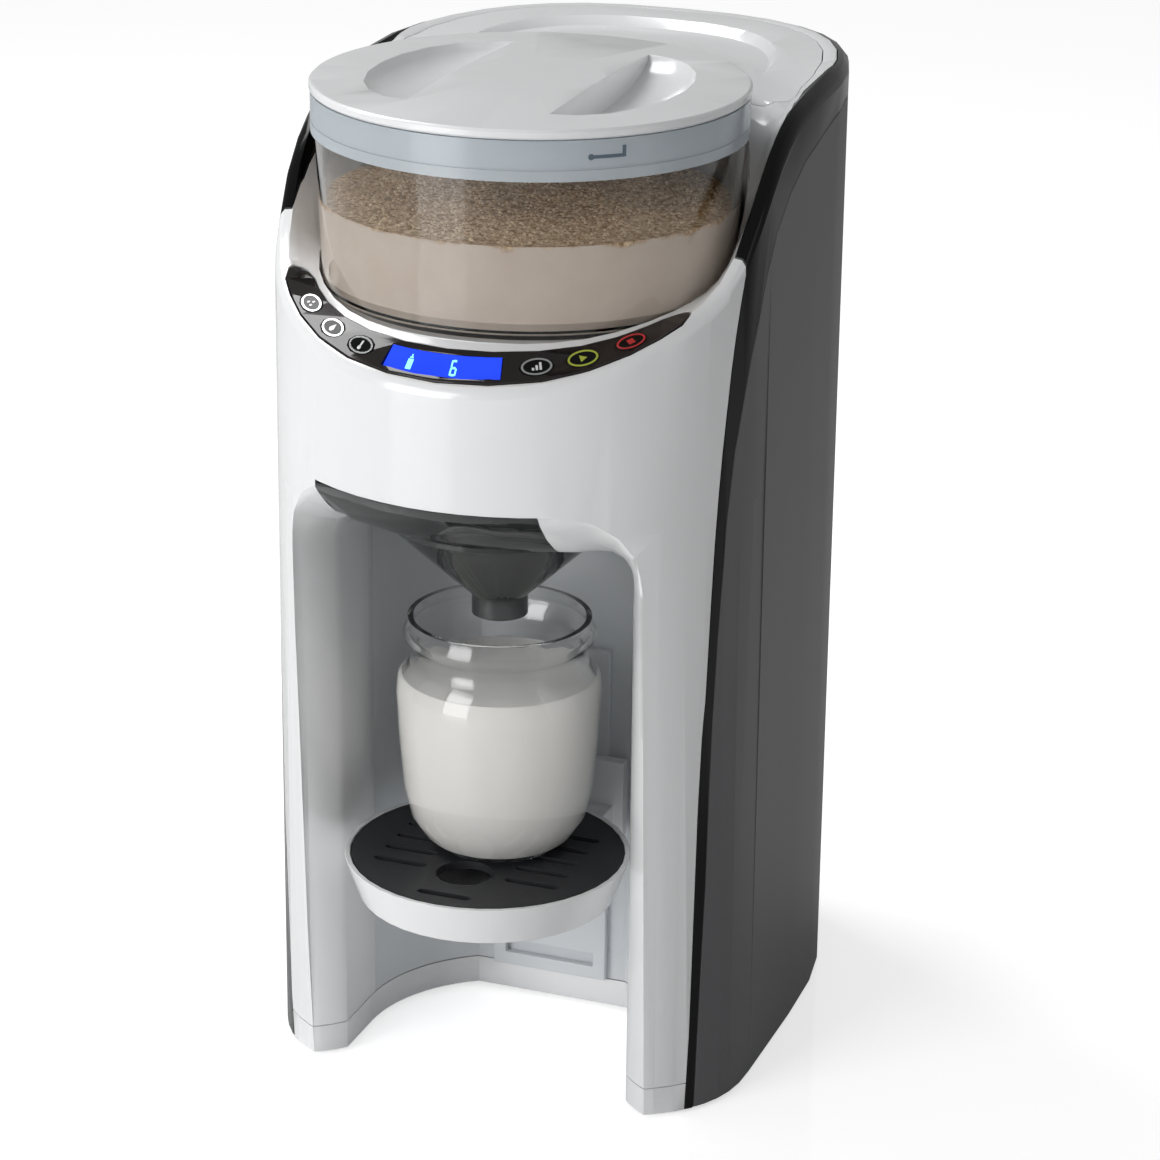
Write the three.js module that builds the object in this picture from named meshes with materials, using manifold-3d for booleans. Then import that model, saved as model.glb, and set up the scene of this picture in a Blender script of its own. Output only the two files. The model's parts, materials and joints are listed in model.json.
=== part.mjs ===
// A countertop baby formula maker: a powder hopper over a funnel, a bottle niche with a drip tray,
// a water tank behind, and the pump, heater and gear drive between them.
// Millimetres, +Z up. The front faces -Y, and the origin is under the middle of the machine.
import * as THREE from "three";
import { mergeVertices } from "three/addons/utils/BufferGeometryUtils.js";
import Module from "manifold-3d";

const wasm = await Module();
wasm.setup();

// Driving dimensions
const BODY_WIDTH = 180;
const FOOT_FRONT = 59; // hopper axis to the front at the bench, without the niche
const BODY_REAR = 168; // hopper axis to the back
const SIDE_END = 50; // hopper axis to where the sides start to turn in
const DECK_HEIGHT = 366; // bench to the flat deck at the back
const RISE = 79; // the control panel's lower edge to the deck
const HEAD_HEIGHT = 232; // bench to where the head is full depth
const HOPPER_SURROUND = 14.4; // the clear hopper, at the collar, to the body's side
const NICHE_WIDTH = 112;
const NICHE_HEIGHT = 222;
const NICHE_DEPTH = 32; // hopper axis to the niche's back wall
const TRAY_RADIUS = 52.5;
const TRAY_HEIGHT = 93; // bench to the tray's rim
const TRAY_AXIS = -36.6; // the tray's centre, in front of the hopper axis
const SPOUT_AXIS = -26; // the funnel's and the jar's centre line
const JAR_RADIUS = 37.4;
const JAR_HEIGHT = 88;

// Fits
const GAP = 0.3; // between pieces that touch
const SEAM = 0.4; // visible joint between two covers
const RUN = 0.35; // round a turning piece
const LOOSE = 1.2; // round a piece that lifts or slides out
const OVERRUN = 6; // how far a cutter passes the face that it cuts
const WALL = 2.6; // moulded covers

// Sizes that follow straight from the driving ones
const HEAD_FRONT = BODY_WIDTH / 2; // hopper axis to the head's front, which is half a circle
const HOPPER_RADIUS = BODY_WIDTH / 2 - HOPPER_SURROUND;
const PANEL_HEIGHT = DECK_HEIGHT - RISE;

// Facets
const ROUND = 40;
const SMALL_ROUND = 18;
const TINY_ROUND = 10;

// Base
const FOOT = { radius: 8, height: 1.6, inset: 15 };
const BASE_BAND = 12.6; // bench to the seam above the base
const BASE_FLOOR = 3;

// Plan outline: facets of the front arc, one side and the back
const PLAN = { front: 28, side: 5, back: 18, footPower: 2.5, headPower: 2, backPower: 2.6, footFlare: 1.5 };

// Height of the shoulder line, as shares of the rise from the panel to the deck,
// against the distance from the hopper axis as shares of the head's depth
const crestShares = [
  [-1, 0], [-0.89, 0.04], [-0.73, 0.12], [-0.56, 0.21], [-0.39, 0.3], [-0.24, 0.43],
  [-0.11, 0.61], [0.06, 0.79], [0.28, 0.925], [0.56, 0.98], [0.89, 1], [2.2, 1],
];
const seatShares = [
  [-0.85, 0.13], [-0.67, 0.155], [-0.48, 0.2], [-0.27, 0.245], [-0.07, 0.29], [0.07, 0.37],
  [0.22, 0.55], [0.44, 0.8], [0.67, 0.95], [0.89, 1], [2.2, 1],
];
const SHOULDER = 5; // rounding of the shoulder
const DISH_POWER = 1.3; // how hollow the deck is beside the hopper

// Seam between the white front and the dark sides, seen from the side:
// shares of the head's depth against shares of the deck's height
const seamShares = [[-0.41, -0.1], [-0.41, 0.4], [-0.4, 0.46], [-0.365, 0.65], [-0.3, 0.79], [-0.2, 0.9]];
// Lower edge of the black hoop, in the same shares
const hoopShares = [
  [-0.385, -0.1], [-0.37, 0.34], [-0.355, 0.47], [-0.3, 0.66], [-0.215, 0.75], [-0.11, 0.82], [0.03, 0.883],
  [0.33, 0.932], [0.72, 0.955], [1.1, 0.965], [2.2, 0.968],
];
const HOOP_RIM = 4.6; // width of the hoop's top face at the back
const HOOP_SIDE = 7.2; // its width along the sides

// Niche
const ARCH = { cornerSteps: 5, levels: 4 };
const crownShares = [0.5, 0, -0.5]; // extra points along the arch's flat top, of its half width
const NICHE_CORNER = 14;
const NICHE_CENTRE = -15; // centre of the rounded niche wall
const COLUMN_BACK = -12; // where the solid columns end and the liner starts
const FLARE = { width: 10, crown: 19, footDepth: 8, headDepth: 20, bendPower: 1.7, steps: 5, past: 2 };
const LINER = 2;

// Rail on the niche's back wall, with the slots for the tray's tongue
const RAIL = { halfWidth: 23, depth: 3, top: 150 };
const SLOT = { halfWidth: 18, height: 5.4, first: 21, pitch: 31, count: 4 };

// Drip tray
const TRAY = {
  depth: 15.5, wall: 2.2, floor: 2.2, footRadius: 47, ledge: 3, grateThickness: 3,
  backHalfWidth: 31, backHeight: 15, backThickness: 5, neckHalfWidth: 27,
};
const TONGUE = { halfWidth: 16.5, height: 4.2, length: 2.2 };
const GRATE = {
  slotLength: 21, slotWidth: 3.4, slotFrom: 15, rows: 5, pitch: 10.7, lastRow: -58.3,
  frontSlot: -78.5, holeRadius: 10.4, holeAxis: -59,
};

// Feeding jar
const JAR = { wall: 2, floor: 3, fill: 66, segments: 26 };
// outer profile: shares of the radius against shares of the height
const jarShares = [
  [0.6, 0], [0.74, 0.05], [0.86, 0.13], [0.93, 0.26], [0.97, 0.45],
  [1, 0.68], [0.98, 0.745], [0.88, 0.8], [0.84, 0.83], [0.84, 0.885], [0.93, 0.915],
  [0.93, 0.945], [0.89, 0.97], [0.89, 1],
];

// Funnel
const FUNNEL = {
  topRadius: 42.4, neckRadius: 36.4, spoutRadius: 10.2, spoutTop: 190, spoutEnd: 182.6, wall: 1.8,
  left: -50, right: 35, flangeInset: 4, flangeThickness: 2.2, ledge: 1.6, back: 22, coverWall: 2.6,
};
const HEAD_FLOOR = 2; // thickness of the niche's ceiling

// Hopper: how far each piece lies below the deck, and steps in and out from the hopper's radius
const SUNK = { hopper: 67.8, powder: 34.5, collar: 11.4, hopperRim: 7.6, gasket: 1 };
const STEP = { collar: 1.4, lid: 1.8, seat: 2, foot: 2.4, collarWall: 3, plug: 5, stirrer: 17.6 };
const HOPPER = {
  bottom: DECK_HEIGHT - SUNK.hopper, footRadius: HOPPER_RADIUS - STEP.foot, top: DECK_HEIGHT - SUNK.hopperRim,
  wall: 2.2, floor: 2.8, corner: 3, boreRadius: 7, outletRadius: 6.5, seatGap: 1.4,
};
const COLLAR_HEIGHT = 14;
const COLLAR = {
  bottom: DECK_HEIGHT - SUNK.collar, top: DECK_HEIGHT - SUNK.collar + COLLAR_HEIGHT,
  radius: HOPPER_RADIUS + STEP.collar, innerRadius: HOPPER_RADIUS - STEP.collarWall, groove: 0.4,
  grooveHeight: 0.8,
};
const LID = {
  radius: HOPPER_RADIUS + STEP.lid, rim: 3.4, crown: 1.6, plugRadius: HOPPER_RADIUS - STEP.plug, plugDepth: 12,
  gripHalfWidth: 26, scoopReach: 31, scoopLength: 51, scoopDepth: 11.5, edge: 0.8,
};
const GASKET = { height: 3.6, grooveDepth: 1.4, top: DECK_HEIGHT - SUNK.gasket };
const POWDER = { level: DECK_HEIGHT - SUNK.powder, mound: 3, moundShare: 0.45, roofGap: 2.5 };
const WHEEL = { radius: 40, thickness: 4, pocketRadius: 5.6, pockets: 9, lift: 0.5 };
const STIRRER = {
  blades: 4, bladeWidth: 3, bladeHeight: 7, hubRadius: 8, reach: HOPPER_RADIUS - STEP.stirrer,
};
const SEAT = {
  radius: HOPPER_RADIUS - STEP.seat, thickness: 5, wellWall: 2, wellFront: -25, postRadius: 4,
  postInset: 14.2,
};

// From the hopper's radius back to the pieces behind it
const BEHIND = { shelf: 3.4, bulkhead: 8.4, tank: 15.4, valve: 36.4 };

// Gear drive
const GEAR = {
  module: 1, driveTeeth: 32, pinionTeeth: 16, thickness: 7, pressureAngle: 20, backlash: 0.34,
  addendum: 0.85, dedendum: 1.15, flankSteps: 2,
};
const SPINDLE = { radius: 4, tail: 2 };
const MOTOR = { radius: 13, height: 30, shaftRadius: 2, turn: 45 };
const SHELF = { thickness: 3, drop: 9, inset: 9, frontInset: 30, back: HOPPER_RADIUS + BEHIND.shelf };
const BUSH = { wall: 2.4, flange: 2, flangeHeight: 1.2 };
const GEAR_PLATE = {
  thickness: 2.8, x0: -23, x1: 40, y0: -13, y1: 40, postRadius: 3, posts: [[-19, 11], [34, 34], [31, -8]],
};
const CHUTE = { radius: 7.4, wall: 1.3, flange: 4, flangeHeight: 1.8 };

// Control panel
const PANEL = {
  halfLength: 88.6, innerInset: 1.6, outerInset: 3.2, endRadius: 7, steps: 16, rows: 1,
  flange: 1.5, flangeLap: 1.3, flangeEnd: 3.6,
};
const DISPLAY = {
  halfLength: 20.9, width: 6.6, thickness: 1, lip: 0.8, lipEnd: 1.7, moduleDepth: 6.4, steps: 8,
};
const BUTTON = { length: 11.6, width: 7.4, proud: 0.5, skirt: 0.8, skirtHeight: 1.2, travel: 0.8 };
const STRIP = { halfLength: 77.1, thickness: 1.2, inset: 1.6, slopeFactor: 1.45, postLength: 3.1, steps: 14 };
const BUTTON_NAMES = ["formula_select", "water_only", "temperature", "amount", "start", "stop"];
// The buttons' places, as shares of the panel's half length
const buttonShares = [-0.742, -0.548, -0.371, 0.371, 0.548, 0.742];
const BOARD = {
  halfWidth: 44, depth: 20, thickness: 1.6, drop: 17, frontInset: 20, postRadius: 2.5, postInset: 6,
};

// Water tank and its lid
const TANK = {
  bottom: 62, wall: 2.2, floor: 3, front: HOPPER_RADIUS + BEHIND.tank, sideInset: 15, flange: 3.2,
  flangeHeight: 2,
};
const TANK_LID = {
  inset: 9.8, hopperGap: 6.6, front: 54, depth: 9.4, skin: 2.2, skirt: 2, rimWidth: 15, dish: 3.4, slope: 4,
};
const PAN = { wall: 2.2, floor: 2.2 };
const VALVE = {
  radius: 9, height: 8, stemRadius: 6, stemLength: 8, sealRadius: 9.8, sealHeight: 2.5,
  y: HOPPER_RADIUS + BEHIND.valve,
};
const SOCKET = { wall: 2.2, depth: 15, floor: 2 };

// Works behind the niche
const BULKHEAD = { y: HOPPER_RADIUS + BEHIND.bulkhead, thickness: 2.5, sideInset: 4 };
const WORKS_DEPTH = 24; // the bulkhead to the middle of the pump and heater
const PUMP = {
  radius: 15, height: 46, x: -40, y: BULKHEAD.y - WORKS_DEPTH, headRadius: 10, headHeight: 8,
};
const HEATER = {
  radius: 14, height: 110, x: 40, y: BULKHEAD.y - WORKS_DEPTH, standRadius: 8, standHeight: 26, portHeight: 12,
};
const PORT = { radius: 3, length: 6 };
const HOSE = { radius: 3.2, sides: 8, steps: 16 };
const hoseShares = { start: 0.25, crest: 0.75 }; // places between the middle and the pump
const NOZZLE = { radius: 4.5, bore: 2.4, height: 14, y: 6, armHalfWidth: 5, armHeight: 3, footDepth: 7 };
const SUPPLY = { halfWidth: 24, height: 62, bottom: 150, board: 1.8, blockDepth: 20, blockMargin: 8 };
const INLET = {
  halfWidth: 14, height: 20, depth: 16, bottom: 24, recess: 10, wall: 2.4, pinRadius: 1.6, pinGap: 5,
};

// Sizes worked out from those above
const HALF = BODY_WIDTH / 2;
const NICHE_HALF = NICHE_WIDTH / 2;
const HOPPER_TOP_GAP = HOPPER.seatGap + COLLAR.radius - HOPPER_RADIUS;
const SEAT_TOP = HOPPER.bottom - GAP;
const TRAY_FLOOR = TRAY_HEIGHT - TRAY.depth;
const GRATE_TOP = TRAY_HEIGHT;
const JAR_BOTTOM = GRATE_TOP + GAP;
const CEILING = NICHE_HEIGHT + HEAD_FLOOR;
const FLANGE_BOTTOM = CEILING + GAP;
const LID_BOTTOM = COLLAR.top + GAP;
const SHELF_TOP = SEAT_TOP - SEAT.thickness - SHELF.drop;
const SHELF_BOTTOM = SHELF_TOP - SHELF.thickness;
const WHEEL_BOTTOM = HOPPER.bottom + HOPPER.floor + WHEEL.lift;
const WHEEL_TOP = WHEEL_BOTTOM + WHEEL.thickness;
const GEAR_TOP = SHELF_BOTTOM - BUSH.flangeHeight - 2 * GAP;
const GEAR_BOTTOM = GEAR_TOP - GEAR.thickness;
const PLATE_TOP = GEAR_BOTTOM - 2 * GAP;
const PLATE_BOTTOM = PLATE_TOP - GEAR_PLATE.thickness;
const PAN_FLOOR = DECK_HEIGHT - TANK_LID.depth - GAP;
const PAN_BOTTOM = PAN_FLOOR - PAN.floor;
const TANK_RIM = PAN_FLOOR + GAP + TANK.flangeHeight;
const BAY_FLOOR = TANK.bottom - GAP;
const BASE_TOP = FOOT.height + BASE_FLOOR;
const PANEL_INNER = SEAT.radius + GAP + HOPPER.seatGap + PANEL.innerInset;
const PANEL_OUTER = HEAD_FRONT - PANEL.outerInset;
const PANEL_MIDDLE = (PANEL_INNER + PANEL_OUTER) / 2;

// Materials, by finish
const finishes = {
  white: { color: 0xf0f1f2, roughness: 0.22, metalness: 0 },
  liner: { color: 0xd9dcdf, roughness: 0.35, metalness: 0 },
  grey: { color: 0x4b4b4c, roughness: 0.45, metalness: 0 },
  black: { color: 0x141415, roughness: 0.12, metalness: 0 },
  grate: { color: 0x232427, roughness: 0.5, metalness: 0 },
  clear: { color: 0xe6ecef, roughness: 0.05, metalness: 0, transparent: true, opacity: 0.3 },
  collar: { color: 0xc3d0d8, roughness: 0.12, metalness: 0, transparent: true, opacity: 0.7 },
  smoke: { color: 0x4d5150, roughness: 0.1, metalness: 0, transparent: true, opacity: 0.8 },
  powder: { color: 0xc9b6a0, roughness: 0.95, metalness: 0 },
  milk: { color: 0xf4f2ec, roughness: 0.4, metalness: 0 },
  rubber: { color: 0x26272a, roughness: 0.8, metalness: 0 },
  seal: { color: 0xdfe3e5, roughness: 0.6, metalness: 0 },
  panel: { color: 0x1c1413, roughness: 0.08, metalness: 0 },
  screen: { color: 0x1f4df0, roughness: 0.1, metalness: 0 },
  inner: { color: 0xc9cccb, roughness: 0.5, metalness: 0 },
  gear: { color: 0xece8dc, roughness: 0.5, metalness: 0 },
  steel: { color: 0xb9bcbf, roughness: 0.3, metalness: 1 },
  board: { color: 0x1d5b3a, roughness: 0.5, metalness: 0 },
  hose: { color: 0xdedfdc, roughness: 0.4, metalness: 0 },
};

// Solids and meshes
function toSolid(geometry) {
  const bare = geometry.clone();
  bare.deleteAttribute("normal");
  bare.deleteAttribute("uv");
  const merged = mergeVertices(bare, 1e-4);
  const mesh = new wasm.Mesh({
    numProp: 3,
    vertProperties: new Float32Array(merged.attributes.position.array),
    triVerts: new Uint32Array(merged.index.array),
  });
  return new wasm.Manifold(mesh);
}

function toGeometry(solid) {
  const mesh = solid.getMesh();
  const geometry = new THREE.BufferGeometry();
  geometry.setAttribute("position", new THREE.BufferAttribute(new Float32Array(mesh.vertProperties), 3));
  geometry.setIndex(new THREE.BufferAttribute(new Uint32Array(mesh.triVerts), 1));
  geometry.computeVertexNormals();
  return geometry;
}

const machine = new THREE.Group();
machine.position.y = -(BODY_REAR - HEAD_FRONT) / 2;

function add(name, solid, finish) {
  const mesh = new THREE.Mesh(toGeometry(solid), new THREE.MeshStandardMaterial(finishes[finish]));
  mesh.name = name;
  machine.add(mesh);
  return mesh;
}

function prismZ(points, low, high) {
  const shape = new THREE.Shape(points.map(([x, y]) => new THREE.Vector2(x, y)));
  const geometry = new THREE.ExtrudeGeometry(shape, { depth: high - low, bevelEnabled: false, steps: 1 });
  geometry.translate(0, 0, low);
  return toSolid(geometry);
}

// A side view of (y, z) points, pushed out along X
function prismX(points, low, high) {
  const solid = prismZ(points, low, high);
  return solid.transform([0, 1, 0, 0, 0, 0, 1, 0, 1, 0, 0, 0, 0, 0, 0, 1]);
}

// A front view of (x, z) points, pushed out along Y
function box(x0, x1, y0, y1, z0, z1) {
  const geometry = new THREE.BoxGeometry(x1 - x0, y1 - y0, z1 - z0);
  geometry.translate((x0 + x1) / 2, (y0 + y1) / 2, (z0 + z1) / 2);
  return toSolid(geometry);
}

function disc(radius, low, high, x = 0, y = 0, segments = SMALL_ROUND) {
  const geometry = new THREE.CylinderGeometry(radius, radius, high - low, segments);
  geometry.rotateX(Math.PI / 2);
  geometry.translate(x, y, (low + high) / 2);
  return toSolid(geometry);
}

// A turned solid from (radius, height) points that start and end on the axis or close on themselves
function turned(profile, segments = ROUND, x = 0, y = 0) {
  const points = profile.map(([radius, height]) => new THREE.Vector2(radius, height));
  const onAxis = profile[0][0] === 0 && profile[profile.length - 1][0] === 0;
  if (!onAxis) points.push(points[0].clone());
  const geometry = new THREE.LatheGeometry(points, segments);
  geometry.rotateX(Math.PI / 2);
  geometry.translate(x, y, 0);
  return outward(dropSlivers(geometry));
}

// Removes the empty triangles that a lathe leaves on its axis
function dropSlivers(geometry) {
  const bare = geometry.clone();
  bare.deleteAttribute("normal");
  bare.deleteAttribute("uv");
  const merged = mergeVertices(bare, 1e-4);
  const kept = [];
  const index = merged.index.array;
  for (let i = 0; i < index.length; i += 3) {
    const [a, b, c] = [index[i], index[i + 1], index[i + 2]];
    if (a !== b && b !== c && c !== a) kept.push(a, b, c);
  }
  merged.setIndex(kept);
  return merged;
}

// Turns the faces round where a profile was drawn the other way
function outward(geometry) {
  const position = geometry.attributes.position;
  const index = geometry.index.array;
  const corners = [new THREE.Vector3(), new THREE.Vector3(), new THREE.Vector3()];
  let volume = 0;
  for (let i = 0; i < index.length; i += 3) {
    corners.forEach((corner, k) => corner.fromBufferAttribute(position, index[i + k]));
    volume += corners[0].dot(corners[1].clone().cross(corners[2]));
  }
  if (volume < 0) {
    const flipped = [];
    for (let i = 0; i < index.length; i += 3) flipped.push(index[i], index[i + 2], index[i + 1]);
    geometry.setIndex(flipped);
  }
  return toSolid(geometry);
}

// A closed solid through rings of points, from the lowest ring to the last, with a fan at each end
function stacked(rings, firstCentre, lastCentre) {
  const count = rings[0].length;
  const positions = [...rings.flat(2), ...firstCentre, ...lastCentre];
  const first = rings.length * count;
  const index = [];
  for (let r = 0; r + 1 < rings.length; r += 1) {
    for (let i = 0; i < count; i += 1) {
      const a = r * count + i;
      const b = r * count + ((i + 1) % count);
      index.push(a, b, b + count, a, b + count, a + count);
    }
  }
  const top = (rings.length - 1) * count;
  for (let i = 0; i < count; i += 1) {
    const next = (i + 1) % count;
    index.push(first, next, i, first + 1, top + i, top + next);
  }
  const geometry = new THREE.BufferGeometry();
  geometry.setAttribute("position", new THREE.BufferAttribute(new Float32Array(positions), 3));
  geometry.setIndex(index);
  return outward(geometry);
}

// Smooth reading of a table of (place, value) pairs
function lookUp(table, place) {
  const last = table.length - 1;
  if (place <= table[0][0]) return table[0][1];
  if (place >= table[last][0]) return table[last][1];
  const i = table.findIndex(([x]) => x > place);
  const slope = (k) => {
    const a = table[Math.max(k - 1, 0)];
    const b = table[Math.min(k + 1, last)];
    return (b[1] - a[1]) / (b[0] - a[0]);
  };
  const [x0, y0] = table[i - 1];
  const [x1, y1] = table[i];
  const width = x1 - x0;
  const t = (place - x0) / width;
  const rise = y1 - y0;
  const bend0 = slope(i - 1) * width - rise;
  const bend1 = rise - slope(i) * width;
  return y0 + rise * t + t * (1 - t) * (bend0 * (1 - t) + bend1 * t);
}

const degrees = (angle) => (angle * Math.PI) / 180;
const mix = (a, b, share) => a + (b - a) * share;
const power = (value, exponent) => Math.sign(value) * Math.abs(value) ** exponent;

// Plan outline of the body at a share of the way from the foot to the head, drawn inwards by an inset
function planOutline(headShare, inset = 0) {
  const half = HALF + mix(PLAN.footFlare, 0, headShare) - inset;
  const front = mix(FOOT_FRONT, HEAD_FRONT, headShare) - inset;
  const frontPower = 2 / mix(PLAN.footPower, PLAN.headPower, headShare);
  const back = BODY_REAR - SIDE_END - inset;
  const backPower = 2 / PLAN.backPower;
  const points = [];
  for (let i = 0; i <= PLAN.front; i += 1) {
    const angle = Math.PI + (Math.PI * i) / PLAN.front;
    points.push([half * power(Math.cos(angle), frontPower), front * power(Math.sin(angle), frontPower)]);
  }
  for (let i = 1; i <= PLAN.side; i += 1) points.push([half, (SIDE_END * i) / (PLAN.side + 1)]);
  for (let i = 0; i <= PLAN.back; i += 1) {
    const angle = (Math.PI * i) / PLAN.back;
    const x = half * power(Math.cos(angle), backPower);
    points.push([x, SIDE_END + back * power(Math.sin(angle), backPower)]);
  }
  for (let i = PLAN.side; i >= 1; i -= 1) points.push([-half, (SIDE_END * i) / (PLAN.side + 1)]);
  return points;
}

const crestHeight = (y) => PANEL_HEIGHT + RISE * lookUp(crestShares, y / HEAD_FRONT);
const seatHeight = (y) => PANEL_HEIGHT + RISE * lookUp(seatShares, y / HEAD_FRONT);

// The whole body as one block, drawn in by an inset, with its hollow deck round the hopper.
// The heights are read on the outline that isn't drawn in, so that one block lies inside the other.
function bodyForm(inset, low) {
  const crest = planOutline(1).map((place) => crestHeight(place[1]));
  const rim = planOutline(1, SHOULDER).map(([x, y]) => Math.hypot(x, y));
  const lift = (outline, height) => outline.map(([x, y]) => [x, y, height]);
  const surface = ([x, y], i) => {
    const reach = Math.hypot(x, y);
    const share = Math.min(Math.max((reach - SEAT.radius) / (rim[i] - SEAT.radius), 0), 1);
    const inner = seatHeight((y * SEAT.radius) / reach);
    return [x, y, mix(inner, crest[i], share ** DISH_POWER) - inset];
  };
  const rings = [lift(planOutline(0, inset), low), lift(planOutline(1, inset), HEAD_HEIGHT)];
  const roundShares = inset > 0 ? [1, 0.3] : [1, 0.55, 0.2];
  const deckShares = inset > 0 ? [1, 0.4, 0] : [1, 0.7, 0.4, 0];
  for (const share of roundShares) {
    const inward = SHOULDER * (1 - Math.sqrt(1 - (1 - share) ** 2));
    rings.push(planOutline(1, inset + inward).map(([x, y], i) => [x, y, crest[i] - SHOULDER * share - inset]));
  }
  const edge = planOutline(1, inset + SHOULDER);
  for (const share of deckShares) {
    rings.push(edge.map(([x, y], i) => {
      const reach = Math.hypot(x, y);
      const scale = mix(SEAT.radius, reach, share) / reach;
      return surface([x * scale, y * scale], i);
    }));
  }
  return stacked(rings, [0, 0, low], [0, 0, SEAT_TOP - inset]);
}

// Regions between the covers, as blocks seen from the side
const ACROSS = HALF + OVERRUN;
const ABOVE = DECK_HEIGHT + OVERRUN;
const FAR_BACK = BODY_REAR + OVERRUN;
const FAR_FRONT = -HEAD_FRONT - OVERRUN;
const LINE_STEPS = 18;

function sideLine(shares) {
  const places = shares.map(([y, z]) => new THREE.Vector3(0, y * HEAD_FRONT, z * DECK_HEIGHT));
  return new THREE.CatmullRomCurve3(places).getPoints(LINE_STEPS).map((place) => [place.y, place.z]);
}

function behindSeam(gap) {
  const line = sideLine(seamShares).map(([y, z]) => [y + gap, z]);
  const last = line[line.length - 1];
  return prismX([...line, [last[0], ABOVE], [FAR_BACK, ABOVE], [FAR_BACK, line[0][1]]], -ACROSS, ACROSS);
}

function belowHoop(gap) {
  const line = sideLine(hoopShares).map(([y, z]) => [y + gap, z - gap]);
  const last = line[line.length - 1];
  const back = Math.max(last[0], FAR_BACK) + OVERRUN;
  return prismX([...line, [back, last[1]], [back, line[0][1]]], -ACROSS, ACROSS);
}

const BELOW = -OVERRUN;
const outerForm = bodyForm(0, FOOT.height);
const innerForm = bodyForm(WALL, BELOW);
const rimBlock = (gap, low) => {
  const half = HALF - HOOP_SIDE + gap;
  return prismZ(planOutline(1, HOOP_RIM - gap), low, ABOVE)
    .intersect(box(-half, half, FAR_FRONT, FAR_BACK, low, ABOVE));
};

// The hopper's seat bore, which opens as the hopper does
const BORE_LOW = SEAT_TOP - SEAT.thickness - OVERRUN;
const boreAt = (extra) => [
  [0, BORE_LOW], [SEAT.radius + GAP + extra, BORE_LOW],
  [SEAT.radius + GAP + extra, HOPPER.bottom], [HOPPER_RADIUS + HOPPER_TOP_GAP + extra, COLLAR.bottom],
  [HOPPER_RADIUS + HOPPER_TOP_GAP + extra, ABOVE], [0, ABOVE],
];
const seatBore = turned(boreAt(0));

// Niche
const surfaceFront = (x, z) => {
  const share = Math.min(Math.max(z / HEAD_HEIGHT, 0), 1);
  const across = Math.min(Math.abs(x) / HALF, 1);
  const foot = FOOT_FRONT * (1 - across ** PLAN.footPower) ** (1 / PLAN.footPower);
  const head = HEAD_FRONT * Math.sqrt(1 - across ** 2);
  return -mix(foot, head, share);
};

function archPoints(halfWidth, top, corner, low) {
  const [steps, levels] = [ARCH.cornerSteps, ARCH.levels];
  const points = [];
  for (let i = 0; i < levels; i += 1) points.push([halfWidth, mix(low, top - corner, i / levels), 1, 0]);
  for (let i = 0; i <= steps; i += 1) {
    const angle = ((Math.PI / 2) * i) / steps;
    const [c, s] = [Math.cos(angle), Math.sin(angle)];
    points.push([halfWidth - corner + corner * c, top - corner + corner * s, c, s]);
  }
  const left = points.map(([x, z, nx, nz]) => [-x, z, -nx, nz]).reverse();
  const middle = crownShares.map((share) => [(halfWidth - corner) * share, top, 0, 1]);
  return [...points, ...middle, ...left];
}

// The niche's cutter, which opens out at the front so that its edge is rounded, most of all at the crown
function flaredNiche(extra = 0) {
  const profile = archPoints(NICHE_HALF + extra, NICHE_HEIGHT + extra, NICHE_CORNER + extra, BELOW)
    .map(([x, z, nx, nz]) => [x, z, nx, nz, mix(FLARE.width, FLARE.crown, nz ** 2)]);
  const rings = [profile.map(([x, z]) => [x, NICHE_CENTRE, z])];
  for (let k = 0; k < FLARE.steps; k += 1) {
    const angle = ((Math.PI / 2) * k) / (FLARE.steps - 1);
    const outwardShare = 1 - Math.cos(angle) ** FLARE.bendPower;
    const depthShare = 1 - Math.sin(angle) ** FLARE.bendPower;
    rings.push(profile.map(([x, z, nx, nz, width]) => {
      const depth = mix(FLARE.footDepth, FLARE.headDepth, Math.min(Math.max(z / NICHE_HEIGHT, 0), 1));
      const front = surfaceFront(x + nx * width, z + nz * width * outwardShare);
      return [x + nx * width * outwardShare, front + depth * depthShare, z + nz * width * outwardShare];
    }));
  }
  rings.push(profile.map(([x, z, nx, nz, width]) => {
    const wide = width + FLARE.past;
    return [x + nx * wide, surfaceFront(x + nx * width, z) - OVERRUN, z + nz * wide];
  }));
  return stacked(rings, [0, NICHE_CENTRE, TRAY_HEIGHT], [0, FAR_FRONT, TRAY_HEIGHT]);
}

// Plan of the niche's wall: straight at the front, round behind, flat at the back
function nichePlan(extra, front) {
  const radius = NICHE_HALF + extra;
  const back = NICHE_DEPTH + extra;
  const end = Math.asin((back - NICHE_CENTRE) / radius);
  const start = Math.asin(Math.max(front - NICHE_CENTRE, 0) / radius);
  const steps = 12;
  const points = front < NICHE_CENTRE ? [[radius, front]] : [];
  for (let i = 0; i <= steps; i += 1) {
    const angle = mix(start, end, i / steps);
    points.push([radius * Math.cos(angle), NICHE_CENTRE + radius * Math.sin(angle)]);
  }
  return [...points, ...points.map(([x, y]) => [-x, y]).reverse()];
}

// Lid and mouth of the tank bay
const lidCutRadius = HOPPER_RADIUS + TANK_LID.hopperGap;
function tankLidBlock(extra, low, high) {
  const plan = prismZ(planOutline(1, TANK_LID.inset - extra), low, high);
  const front = box(-ACROSS, ACROSS, TANK_LID.front - extra, FAR_BACK, low - OVERRUN, high + OVERRUN);
  const round = disc(lidCutRadius - extra, low - OVERRUN, high + OVERRUN, 0, 0, ROUND);
  return plan.intersect(front).subtract(round);
}

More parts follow.
